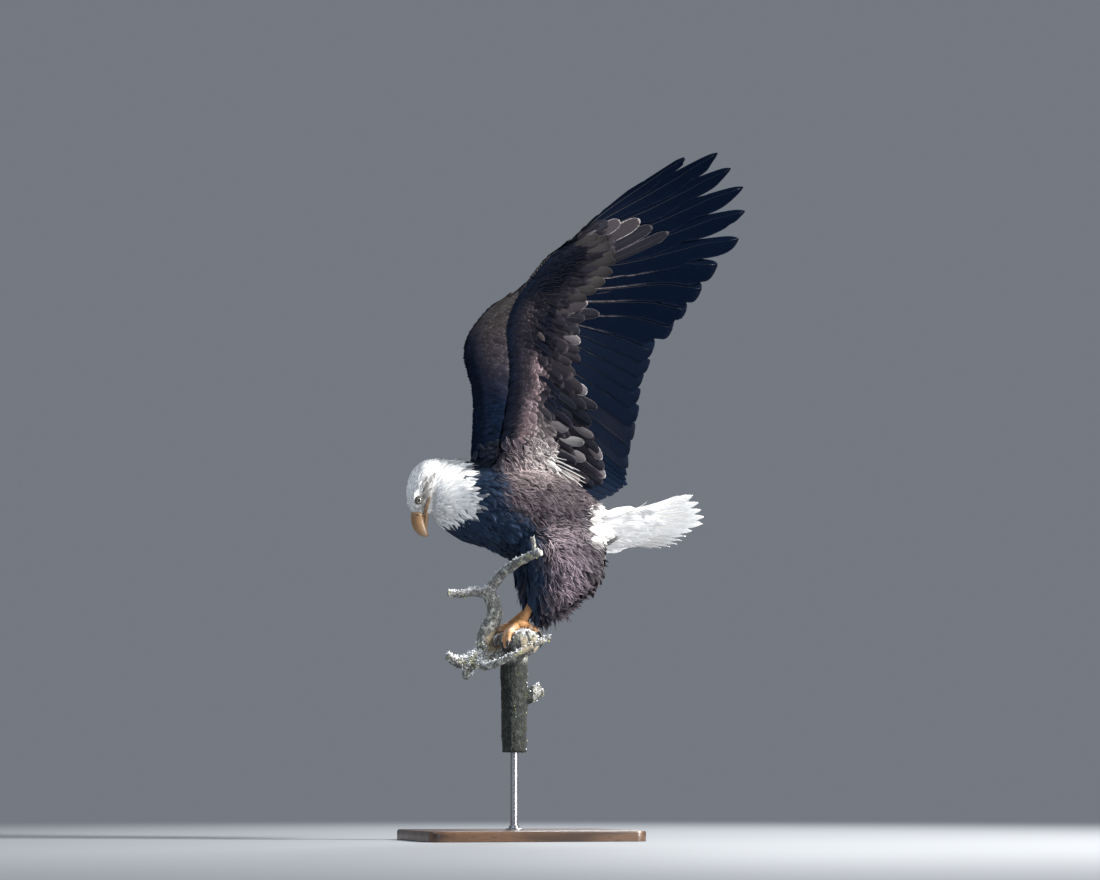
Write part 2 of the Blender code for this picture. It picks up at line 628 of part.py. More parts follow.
def claw_line(side, angle, length, drift, way, lift):
    """Curved centre line of a claw that carries a toe on round the wood."""
    r = CLAW_RADIUS
    turn = length / (LOG_RADIUS + r + lift) * 1.02
    angle = angle + way * 3.5 * GAP / (LOG_RADIUS + lift)
    heights = np.array([r + 0.0030, r + 0.0046, r + 0.0026, 0.0030]) + lift
    return wrap_path(side, angle, angle + way * turn, 0.0, heights, 6) + wrap_shift(side, drift)


def wrap_shift(side, drift):
    """Sideways offset along the cross piece reached by a toe of this drift."""
    d = log_frame()[1]
    return -drift * (1 if side == "left" else -1) * d


def add_claw(side, number, path):
    """One black talon."""
    shape = [CLAW_RADIUS * k for k in (0.60, 0.98, 0.88, 0.68, 0.42, 0.12)]
    return add_object(f"claw_{side}_{number}", *tube(sweep(path, shape, 6)), "claw")


def grown(obj, amount):
    """Vertices and faces of obj pushed outward along its vertex normals."""
    verts = [v.co + v.normal * amount for v in obj.data.vertices]
    return verts, [tuple(p.vertices) for p in obj.data.polygons]


# ---------------------------------------------------------------- perch and stand
def build_perch():
    """Cut piece of treetop: trunk, cross piece, rising limb, stubs and a thin twig."""
    foot = np.array(TRUNK_FOOT)
    top = np.array([0.0, -0.013, 0.440])
    t = np.linspace(0, 1, 4)[:, None]
    trunk = foot + (top - foot) * t
    radii = np.interp(t[:, 0], [0, 1], TRUNK_RADIUS)
    perch = add_object("perch", *tube(sweep(trunk, radii, 14, up=(1.0, 0, 0))), "bark")
    start, d, forward, up, length = log_frame()
    log = start + d * (np.array([-0.055, -0.025, 0.06, 0.94, 1.0])[:, None] * length)
    parts = [(log, [LOG_RADIUS * k for k in (0.45, 0.80, 1.0, 1.0, 0.85)], 16, (0, 0, 1.0))]
    limb = ((-0.006, -0.020, 0.430), (-0.006, -0.070, 0.428), (0.000, -0.082, 0.464),
            (0.010, -0.062, 0.515), (0.014, -0.072, 0.555), (0.014, -0.090, 0.576))
    parts.append((smooth(limb, 8), np.linspace(0.0225, 0.0160, 8), 10, (1.0, 0, 0)))
    left_arm = ((0.014, -0.078, 0.562), (0.012, -0.110, 0.567), (0.010, -0.142, 0.562), (0.008, -0.174, 0.563))
    parts.append((smooth(left_arm, 5), np.linspace(0.013, 0.0085, 5), 8, (1.0, 0, 0)))
    right_arm = ((0.014, -0.080, 0.560), (0.022, -0.066, 0.588), (0.046, -0.048, 0.613),
                 (0.095, -0.019, 0.635), (0.144, 0.012, 0.650))
    parts.append((smooth(right_arm, 8), np.linspace(0.0145, 0.0095, 8), 8, (1.0, 0, 0)))
    fork = ((0.124, -0.002, 0.642), (0.127, 0.001, 0.663), (0.127, -0.004, 0.686))
    parts.append((smooth(fork, 4), np.linspace(0.0070, 0.0045, 4), 6, (1.0, 0, 0)))
    stub = ((-0.006, -0.060, 0.430), (0.000, -0.105, 0.414), (0.000, -0.142, 0.404), (-0.006, -0.172, 0.422))
    parts.append((smooth(stub, 6), np.linspace(0.021, 0.0095, 6), 8, (1.0, 0, 0)))
    knob = ((0.002, -0.104, 0.412), (0.008, -0.124, 0.392), (0.012, -0.130, 0.366))
    parts.append((smooth(knob, 4), np.linspace(0.017, 0.009, 4), 8, (1.0, 0, 0)))
    side_stub = ((0.0, -0.012, 0.318), (0.004, 0.022, 0.330), (0.006, 0.050, 0.346))
    parts.append((smooth(side_stub, 4), np.linspace(0.020, 0.017, 4), 8, (1.0, 0, 0)))
    twig = ((0.006, -0.096, 0.412), (0.050, -0.092, 0.393), (0.090, -0.054, 0.410),
            (0.102, -0.008, 0.434), (0.105, 0.046, 0.460))
    parts.append((smooth(twig, 7), np.linspace(0.0105, 0.0065, 7), 6, (0, 0, 1.0)))
    for path, radius, sides, up_hint in parts:
        combine(perch, guide("p", *tube(sweep(path, radius, sides, up=up_hint))), "UNION")
    return perch


def rounded_plate(size, height, corner, steps):
    """Flat plate with rounded corners, its underside on Z = 0."""
    pts = []
    for k, (sx, sy) in enumerate(((1, 1), (-1, 1), (-1, -1), (1, -1))):
        for i in range(steps + 1):
            a = math.pi / 2 * (k + i / steps)
            pts.append((sx * (size[0] / 2 - corner) + corner * math.cos(a),
                        sy * (size[1] / 2 - corner) + corner * math.sin(a)))
    n = len(pts)
    verts = [(x, y, 0.0) for x, y in pts] + [(x, y, height) for x, y in pts]
    faces = [tuple(range(n)), tuple(range(2 * n - 1, n - 1, -1))]
    faces += [(i, (i + 1) % n, n + (i + 1) % n, n + i) for i in range(n)]
    return verts, faces


def build_stand(perch):
    """Base board and the rod that carries the perch."""
    add_object("stand_base", *rounded_plate(BASE_SIZE, BASE_HEIGHT, BASE_CORNER, 5), "board", flat=True)
    low = np.array([TRUNK_FOOT[0], TRUNK_FOOT[1], BASE_HEIGHT + GAP])
    high = np.array([TRUNK_FOOT[0], TRUNK_FOOT[1], TRUNK_FOOT[2] + ROD_SINK])
    t = np.linspace(0, 1, 2)[:, None]

    def rod(grow):
        path = low + (high + np.array([0, 0, grow]) - low) * t
        return tube(sweep(path, [ROD_RADIUS + grow] * 2, 16, up=(1.0, 0, 0)))

    combine(perch, guide("r", *rod(GAP)), "DIFFERENCE")
    add_object("stand_rod", *rod(0.0), "steel")


# ---------------------------------------------------------------- whole bird
def build_body():
    """Trunk, neck, head, feathered legs and tail, parted by thin cuts."""
    add_object("trunk", *tube(body_rings(TRUNK_ROWS, 13, 20)), "brown")
    head = add_object("head", *tube(head_rings(12, 16)), "white")
    neck = add_object("neck", *tube(body_rings(NECK_ROWS, 9, 16)), "white")
    combine(neck, guide("a", *tube(head_rings(12, 16, GAP))), "DIFFERENCE")
    combine(neck, guide("b", *tube(body_rings(TRUNK_ROWS, 13, 20, GAP))), "DIFFERENCE")
    for rows, count, sides in ((UPPER_BILL, 10, 12), (LOWER_BILL, 6, 10)):
        combine(head, guide("c", *tube(bill_rings(rows, count, sides, GAP))), "DIFFERENCE")
    for side in ("left", "right"):
        centre = eye_centre(side)
        combine(head, guide("d", *tube(ball(centre, EYE_RADIUS + GAP, 6, 10))), "DIFFERENCE")
        add_object(f"eye_{side}", *tube(ball(centre, EYE_RADIUS, 6, 10)), "eye")
    build_bill()
    tail = build_tail()
    combine(tail, guide("e", *tube(body_rings(TRUNK_ROWS, 13, 20, GAP))), "DIFFERENCE")
    return tail


def build_limbs(perch, tail):
    """Feathered legs, bare legs and wings."""
    for side in ("left", "right"):
        shank, pad = build_leg(side, perch)
        thigh = add_object(f"thigh_{side}", *tube(thigh_rings(side, 11, 14)), "brown")
        combine(thigh, guide("g", *tube(body_rings(TRUNK_ROWS, 13, 20, GAP))), "DIFFERENCE")
        combine(shank, guide("h", *grown(thigh, GAP)), "DIFFERENCE")
        combine(tail, guide("j", *grown(thigh, GAP)), "DIFFERENCE")
        arm, secondaries = build_wing(side)
        for piece in (arm, secondaries):
            combine(piece, guide("i", *tube(body_rings(TRUNK_ROWS, 13, 20, GAP))), "DIFFERENCE")


def main():
    """Clear the scene and build every piece."""
    for obj in list(bpy.data.objects):
        bpy.data.objects.remove(obj, do_unlink=True)
    perch = build_perch()
    build_stand(perch)
    tail = build_body()
    build_limbs(perch, tail)


main()
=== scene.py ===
"""Bald eagle perched with both wings raised, life size: skin, plumage, bill, feet, perch and stand.

The bird faces -Y, its left side is +X and +Z is up; the stand's underside lies on Z = 0.
"""
import logging
import math
from collections.abc import Callable
from dataclasses import dataclass, field
from enum import Enum

import bpy
import numpy as np
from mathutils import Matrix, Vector
from mathutils.bvhtree import BVHTree
from mathutils.kdtree import KDTree

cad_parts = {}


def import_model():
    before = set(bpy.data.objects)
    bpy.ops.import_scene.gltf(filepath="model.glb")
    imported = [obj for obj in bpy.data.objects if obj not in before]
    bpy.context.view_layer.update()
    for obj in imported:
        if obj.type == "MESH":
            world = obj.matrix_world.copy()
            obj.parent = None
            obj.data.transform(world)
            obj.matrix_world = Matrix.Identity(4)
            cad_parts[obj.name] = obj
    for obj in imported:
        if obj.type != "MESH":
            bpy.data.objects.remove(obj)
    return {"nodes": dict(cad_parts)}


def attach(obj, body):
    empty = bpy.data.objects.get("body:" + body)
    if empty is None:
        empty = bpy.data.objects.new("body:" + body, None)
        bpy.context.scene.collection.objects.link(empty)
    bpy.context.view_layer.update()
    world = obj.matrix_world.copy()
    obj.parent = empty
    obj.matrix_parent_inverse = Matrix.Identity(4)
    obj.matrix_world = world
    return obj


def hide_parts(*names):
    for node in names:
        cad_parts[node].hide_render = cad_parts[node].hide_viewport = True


LOG = logging.getLogger("eagle")
Array = np.ndarray
Ground = Callable[[Array], Array]  # gives a value for each point
Colour = tuple[float, float, float]
Material = bpy.types.Material
Object = bpy.types.Object
PATCH = 0.003                     # width of one feather's patch on the OFBake map
BODY = "root"                     # the frame's only body
LATTICE = 1000.0                  # moves the noise's lattice clear of its seams at zero


class Side(Enum):
    """Which wing, leg or eye: the sign of its X."""
    LEFT = 1.0
    RIGHT = -1.0

    @property
    def label(self) -> str:
        """Lower-case name, as in the names of nodes."""
        return self.name.lower()


class Face(Enum):
    """Which face of a wing: the sign of its normal, the underside being positive."""
    UNDER = 1.0
    OVER = -1.0


# ------------------------------------------------------------------ arrays
def unit(v: Array) -> Array:
    """Vectors scaled to length one."""
    return v / np.maximum(np.linalg.norm(v, axis=-1, keepdims=True), 1e-12)


def smoothstep(t: Array) -> Array:
    """0 to 1 with level ends."""
    t = np.clip(t, 0.0, 1.0)
    return t * t * (3 - 2 * t)


def square_to(v: Array, n: Array) -> Array:
    """Unit vectors nearest to v that stand square to the unit vectors n."""
    return unit(v - n * (v * n).sum(-1, keepdims=True))


def turns(count: int) -> Array:
    """Even angles once round, from 0."""
    return np.arange(count) * 2 * math.pi / count


def profile(t: Array, values: tuple) -> Array:
    """Values set at even knots from 0 to 1, read at t."""
    return np.interp(t, np.linspace(0, 1, len(values)), values)


def wall(rows: int, columns: int, loop: bool = False) -> Array:
    """Quads between rings of points numbered ring by ring; loop joins the last ring to the first."""
    i, j = np.meshgrid(np.arange(rows if loop else rows - 1), np.arange(columns), indexing="ij")
    above, beside = (i + 1) % rows * columns, (j + 1) % columns
    return np.stack([i * columns + j, i * columns + beside, above + beside, above + j], -1).reshape(-1, 4)


def fall(x: Array, centre: float, width: float) -> Array:
    """Bell curve: 1 at the centre, 0.37 a width away."""
    return np.exp(-((x - centre) / width) ** 2)


def blend(a: Array, b: Array, w: Array) -> Array:
    """a where w is 0 and b where w is 1, w having one axis less."""
    return np.asarray(a) + (np.asarray(b) - np.asarray(a)) * np.asarray(w)[..., None]


def catmull(rows: Array, count: int) -> Array:
    """Catmull-Rom curve through the rows, sampled at count even parameters."""
    rows = np.asarray(rows, float)
    padded = np.vstack([2 * rows[0] - rows[1], rows, 2 * rows[-1] - rows[-2]])
    t = np.linspace(0.0, len(rows) - 1.0, count)
    k = np.minimum(t.astype(int), len(rows) - 2)
    f = (t - k)[:, None]
    p0, p1, p2, p3 = (padded[k + i] for i in range(4))
    return 0.5 * (2 * p1 + (p2 - p0) * f + (2 * p0 - 5 * p1 + 4 * p2 - p3) * f ** 2
                  + (3 * p1 - p0 - 3 * p2 + p3) * f ** 3)


def along(rows: Array, t: Array) -> Array:
    """Points of the Catmull-Rom curve through the rows at t in 0..1."""
    table = catmull(rows, 201)
    s = np.linspace(0.0, 1.0, 201)
    return np.stack([np.interp(t, s, table[:, i]) for i in range(table.shape[1])], -1)


def noise(p: Array, scale: float, seed: int = 0) -> Array:
    """Smooth random field in -1..1: random values on a lattice of this spacing, blended by smoothstep."""
    g = np.asarray(p) / scale + LATTICE
    base = np.floor(g).astype(np.int64)
    f = smoothstep(g - base)
    total = np.zeros(g.shape[:-1])
    for corner in np.ndindex(2, 2, 2):
        c = base + np.array(corner)
        h = (c[..., 0] * 73856093) ^ (c[..., 1] * 19349663) ^ (c[..., 2] * 83492791) ^ (seed * 40503)
        h = (h ^ (h >> 13)) * 1274126177 & 0xFFFFFFFF
        value = ((h >> 9) & 0xFFFF) / 32767.5 - 1.0
        total += value * np.where(np.array(corner) == 1, f, 1 - f).prod(-1)
    return total


def sweep(path: Array, radii: Array, sides: int, wide: Array | None = None,
          up: tuple = (0.0, 0.0, 1.0)) -> Array:
    """Rings of round or wide section carried along a path.

    Args:
        path: Points of the centre line.
        radii: Half height of each ring.
        sides: Points round each ring.
        wide: Half width of each ring, the same as radii if left out.
        up: Direction that the rings' tops keep to.

    Returns:
        Points, (rings, sides, 3).
    """
    path, radii = np.asarray(path, float), np.asarray(radii, float)
    wide = radii if wide is None else np.asarray(wide, float)
    tangent = unit(np.gradient(path, axis=0))
    side = unit(np.cross(tangent, np.asarray(up, float)))
    top = np.cross(side, tangent)
    a = turns(sides)
    return (path[:, None] + np.cos(a)[None, :, None] * side[:, None] * wide[:, None, None]
            + np.sin(a)[None, :, None] * top[:, None] * radii[:, None, None])


# ------------------------------------------------------------------ meshes
@dataclass
class Piece:
    """A mesh in the making: points, faces, and what its material reads at each point."""
    verts: list = field(default_factory=list)
    quads: list = field(default_factory=list)
    tris: list = field(default_factory=list)
    uv: list = field(default_factory=list)
    bake: list = field(default_factory=list)
    tint: list = field(default_factory=list)
    fringe: list = field(default_factory=list)
    count: int = 0

    def add(self, verts: Array, quads: Array, tris: Array, uv: Array | None = None,
            bake: Array | None = None, tint: Array | None = None, fringe: Array | None = None) -> None:
        """Add points and the faces between them.

        Args:
            verts: Points (n, 3).
            quads: Corner numbers of the four-sided faces.
            tris: Corner numbers of the triangles.
            uv: Place of each point across and along its part.
            bake: Place of each point on the OFBake map.
            tint: Colour at each point.
            fringe: Colour of the rim at each point.
        """
        verts = np.asarray(verts, float).reshape(-1, 3)
        n = len(verts)
        self.verts.append(verts)
        self.quads.append(np.asarray(quads, int).reshape(-1, 4) + self.count)
        self.tris.append(np.asarray(tris, int).reshape(-1, 3) + self.count)
        for store, value, width in ((self.uv, uv, 2), (self.bake, bake, 2), (self.tint, tint, 3),
                                    (self.fringe, fringe, 3)):
            value = np.full((n, width), 0.5) if value is None else np.asarray(value, float)
            store.append(np.broadcast_to(value, (n, width)))
        self.count += n

    def tube(self, rings: Array, tint: Array | None = None) -> None:
        """Add a body through rings of points, closed by a point at each end.

        Args:
            rings: Points (n, m, 3).
            tint: One colour, one for each ring, or one for each of the rings' points.
        """
        n, m, _ = rings.shape
        j = np.arange(m)
        k = (j + 1) % m
        tris = np.concatenate([np.stack([np.full(m, n * m), k, j], -1),
                               np.stack([np.full(m, n * m + 1), (n - 1) * m + j, (n - 1) * m + k], -1)])
        verts = np.vstack([rings.reshape(-1, 3), rings[0].mean(0), rings[-1].mean(0)])
        uv = np.stack(np.meshgrid(np.linspace(0, 1, n), np.arange(m) / m, indexing="ij"), -1)[..., ::-1]
        uv = np.vstack([uv.reshape(-1, 2), [[0.5, 0.0], [0.5, 1.0]]])
        if np.ndim(tint) > 1:
            tint = np.broadcast_to(tint if tint.ndim == 3 else tint[:, None], rings.shape).reshape(-1, 3)
            tint = np.vstack([tint, tint[:1], tint[-1:]])
        self.add(verts, wall(n, m), tris, uv, None, tint)

    def strips(self, total: int, rows: int, columns: int) -> None:
        """Give each large vane just added a strip of the OFBake map to itself, one half for each face.

        Args:
            total: Number of vanes.
            rows: Rows of points of each.
            columns: Columns of points of each.
        """
        # in each strip: a margin of 0.06, a face of 0.4, 0.08 between them, a face of 0.4 and a margin
        uv = self.uv[-1].reshape(total, -1, 2)
        lower = (np.arange(uv.shape[1]) >= rows * columns)[None]
        u = (np.arange(total)[:, None] + 0.06 + 0.4 * uv[..., 0] + 0.48 * lower) / total
        self.bake[-1] = np.stack([u, 0.01 + 0.98 * uv[..., 1]], -1).reshape(-1, 2)

    def solid(self, name: str, material: Material, nodes: tuple = (), crease: float = 0.0) -> None:
        """Make the closed body in hand an object, turn it outward and dress it, as finish_piece does."""
        obj = self.object(name)
        outward(obj)
        finish_piece(obj, material, nodes, crease)

    def object(self, name: str) -> Object:
        """The mesh object, shaded smooth, with its UV maps and stored colours, linked to the scene."""
        verts = np.concatenate(self.verts)
        quads, tris = np.concatenate(self.quads), np.concatenate(self.tris)
        loops = np.concatenate([quads.ravel(), tris.ravel()])
        starts = np.concatenate([np.arange(len(quads)) * 4, len(quads) * 4 + np.arange(len(tris)) * 3])
        mesh = bpy.data.meshes.new(name)
        mesh.vertices.add(len(verts))
        mesh.vertices.foreach_set("co", verts.ravel())
        mesh.loops.add(len(loops))
        mesh.loops.foreach_set("vertex_index", loops)
        mesh.polygons.add(len(starts))
        mesh.polygons.foreach_set("loop_start", starts)
        mesh.update(calc_edges=True)
        mesh.shade_smooth()
        for layer, store in (("Vane", self.uv), ("OFBake", self.bake)):
            if layer == "Vane" or any(np.ptp(b) > 0 for b in store):
                mesh.uv_layers.new(name=layer).uv.foreach_set("vector", np.concatenate(store)[loops].ravel())
        obj = linked(name, mesh)
        for layer, store in (("tint", self.tint), ("fringe", self.fringe)):
            paint(obj, layer, np.concatenate(store))
        return obj


def linked(name: str, data: bpy.types.ID) -> Object:
    """A new object of this mesh, lamp or camera in the scene."""
    obj = bpy.data.objects.new(name, data)
    bpy.context.scene.collection.objects.link(obj)
    return obj


def outward(obj: Object) -> None:
    """Turn a closed mesh's faces outward, by the sign of the volume they enclose."""
    mesh = obj.data
    mesh.calc_loop_triangles()
    tri = np.zeros(len(mesh.loop_triangles) * 3, int)
    mesh.loop_triangles.foreach_get("vertices", tri)
    a, b, c = mesh_points(obj)[0][tri.reshape(-1, 3)].transpose(1, 0, 2)
    if np.einsum("ij,ij->i", a, np.cross(b, c)).sum() < 0:
        mesh.flip_normals()


def finish_piece(obj: Object, material: Material, nodes: tuple = (),
                 crease: float = 0.0) -> Object:
    """Dress a piece and tell the frame what it is.

    Args:
        obj: The piece.
        material: Its finish.
        nodes: CAD nodes it stands for.
        crease: Angle in degrees past which an edge is kept sharp, 0 for none.

    Returns:
        The piece.
    """
    obj.data.materials.clear()
    obj.data.materials.append(material)
    if crease:
        obj.data.set_sharp_from_angle(angle=math.radians(crease))
    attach(obj, BODY)
    if nodes:
        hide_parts(*nodes)
    obj.data.calc_loop_triangles()
    LOG.info("%s: %d triangles", obj.name, len(obj.data.loop_triangles))
    return obj


def remeshed(piece: Piece, name: str, voxel: float, smooth: int) -> Object:
    """One even closed skin round everything in the piece.

    Args:
        piece: Overlapping closed bodies.
        name: Name of the new piece.
        voxel: Size of the skin's squares.
        smooth: Times that each point moves half way to its neighbours' mean.

    Returns:
        The skin's object.
    """
    rough = piece.object(name + "_rough")
    mod = rough.modifiers.new("skin", "REMESH")
    mod.mode, mod.voxel_size, mod.adaptivity = "VOXEL", voxel, 0.0
    even = rough.modifiers.new("even", "SMOOTH")
    even.factor, even.iterations = 0.5, smooth
    mesh = bpy.data.meshes.new_from_object(rough.evaluated_get(bpy.context.evaluated_depsgraph_get()))
    bpy.data.objects.remove(rough)
    mesh.name = name
    obj = linked(name, mesh)
    outward(obj)
    mesh.shade_smooth()
    return obj


def mesh_points(obj: Object) -> tuple[Array, Array]:
    """Points and point normals of a mesh object."""
    n = len(obj.data.vertices)
    co, nor = np.zeros(n * 3), np.zeros(n * 3)
    obj.data.vertices.foreach_get("co", co)
    obj.data.vertices.foreach_get("normal", nor)
    return co.reshape(-1, 3), nor.reshape(-1, 3)


def paint(obj: Object, name: str, colours: Array) -> None:
    """Store a colour at each point of a mesh."""
    rgba = np.ones((len(obj.data.vertices), 4))
    rgba[:, :3] = colours
    layers = obj.data.color_attributes
    layer = layers.get(name) or layers.new(name, "FLOAT_COLOR", "POINT")
    layer.data.foreach_set("color", rgba.ravel())


# ------------------------------------------------------------------ feathers
@dataclass(frozen=True)
class Vane:
    """Shape shared by all feathers of one kind."""
    stations: tuple = (0.0, 0.25, 0.5, 0.72, 0.89, 1.0)   # places of the rows along the feather
    outline: tuple = (0.3, 0.72, 1.00, 0.93, 0.62, 0.16)   # half width there, as a share
    columns: int = 3
    cup: float = 0.3                 # how far the rims sink, as a share of the half width
    thickness: float = 0.0005
    fray: float = 0.0                 # uneven ends of the barbs, as a share of the length
    ragged: float = 0.0               # uneven rims, as a share of the half width

    def cells(self) -> tuple[Array, Array]:
        """Quads and triangles of one closed vane: an upper sheet, a lower one sharing its rims, end caps."""
        rows, cols = len(self.stations), self.columns
        top = np.arange(rows * cols).reshape(rows, cols)
        low = top.copy()
        low[:, 1:-1] = rows * cols + np.arange(rows * (cols - 2)).reshape(rows, cols - 2)

        def sheet(g: Array) -> Array:
            """Quads of a grid of corner numbers."""
            return np.stack([g[:-1, :-1], g[:-1, 1:], g[1:, 1:], g[1:, :-1]], -1).reshape(-1, 4)

        quads, tris = [sheet(top), sheet(low)[:, ::-1]], []
        for row, turn in ((0, 1), (-1, -1)):
            a, b = top[row], low[row]
            tris.append(np.array([[a[1], a[0], b[1]], [a[-1], a[-2], b[-2]]])[:, ::turn])
            if cols > 3:
                strip = np.stack([a[2:-1], a[1:-2], b[1:-2], b[2:-1]], -1)
                quads.append(strip[:, ::turn])
        return np.concatenate(quads), np.concatenate(tris)

    def close(self, piece: Piece, sheet: Array, under: Array, across: Array, root: Array,
              tint: Array, fringe: Array) -> None:
        """Add closed vanes whose upper sheets are given.

        Args:
            piece: The piece they join.
            sheet: Upper sheets (feathers, rows, columns, 3).
            under: Unit vectors from the upper to the lower sheet, same shape.
            across: Place of each column from -1 to 1.
            root: Place of each feather's root on the skin's unwrap (feathers, 2).
            tint: Colour of each feather, or of each of its rows.
            fringe: Colour of each feather's rim, or of each row's.
        """
        count, _, cols, _ = sheet.shape
        s = np.asarray(self.stations)
        depth = self.thickness * (1 - across[None, None, 1:-1, None] ** 2 * 0.6)
        low = sheet[:, :, 1:-1] + under[:, :, 1:-1] * depth
        verts = np.concatenate([sheet.reshape(count, -1, 3), low.reshape(count, -1, 3)], 1)
        quads, tris = self.cells()
        n = verts.shape[1]
        step = (np.arange(count) * n)[:, None, None]

        def spread(cols_of: Array) -> Array:
            """Across and along place for each point of these columns."""
            grid = np.stack(np.meshgrid((cols_of + 1) / 2, s), -1)
            return grid.reshape(-1, 2)

        uv = np.vstack([spread(across), spread(across[1:-1])])
        bake = root[:, None] + (uv[None] - 0.5) * PATCH

        def per_point(value: Array) -> Array:
            """A colour for each point from one for each feather or row."""
            value = np.asarray(value, float)
            if value.ndim == 2:
                return np.repeat(value[:, None], n, 1)
            return np.concatenate([np.repeat(value[:, :, None], c, 2).reshape(count, -1, 3)
                                   for c in (cols, cols - 2)], 1)

        piece.add(verts, quads[None] + step, tris[None] + step, np.tile(uv, (count, 1)),
                  np.clip(bake, 0.0005, 0.9995).reshape(-1, 2), per_point(tint).reshape(-1, 3),
                  per_point(fringe).reshape(-1, 3))

    def lay(self, piece: Piece, path: Array, normal: Array, half: Array, root: Array, tint: Array,
            fringe: Array, rng: np.random.Generator, twist: float = 0.0) -> None:
        """Add feathers along given shafts: width follows the outline, rims sink as a parabola.

        Args:
            piece: The piece they join.
            path: Shafts (feathers, rows, 3).
            normal: Outward directions at the same points.
            half: Half width of each feather.
            root: Place of each root on the skin's unwrap.
            tint: Colours of the feathers.
            fringe: Colours of their rims.
            rng: Source of the small irregularities.
            twist: Largest roll of a feather about its shaft, in radians.
        """
        count, rows, _ = path.shape
        x = np.linspace(-1.0, 1.0, self.columns)
        s = np.asarray(self.stations)
        tangent = unit(np.gradient(path, s, axis=1))
        over = unit(np.cross(tangent, normal))
        up = np.cross(over, tangent)
        roll = rng.uniform(-twist, twist, (count, 1, 1))
        over, up = over * np.cos(roll) + up * np.sin(roll), up * np.cos(roll) - over * np.sin(roll)
        width = half[:, None] * np.asarray(self.outline)
        uneven = 1 + self.ragged * rng.uniform(-1, 1, (count, rows, self.columns)) * np.abs(x)
        w = width[:, :, None] * x * uneven
        length = np.linalg.norm(np.diff(path, axis=1), axis=-1).sum(1)
        push = (rng.uniform(-1, 0.6, (count, 1, self.columns)) * self.fray * length[:, None, None]
                * (s ** 3)[None, :, None])
        sink = -self.cup * np.abs(width)[:, :, None] * x ** 2
        sheet = (path[:, :, None] + over[:, :, None] * w[..., None] + up[:, :, None] * sink[..., None]
                 + tangent[:, :, None] * push[..., None])
        self.close(piece, sheet, -np.repeat(up[:, :, None], self.columns, 2), x, root, tint, fringe)


def wear(colour: Array, rng: np.random.Generator, amount: float = 0.18) -> Array:
    """Each feather's colour a little lighter or darker than its neighbours'."""
    return np.clip(colour * (1 + amount * rng.normal(size=(len(colour), 1))).clip(0.45, 1.7), 0, 0.95)


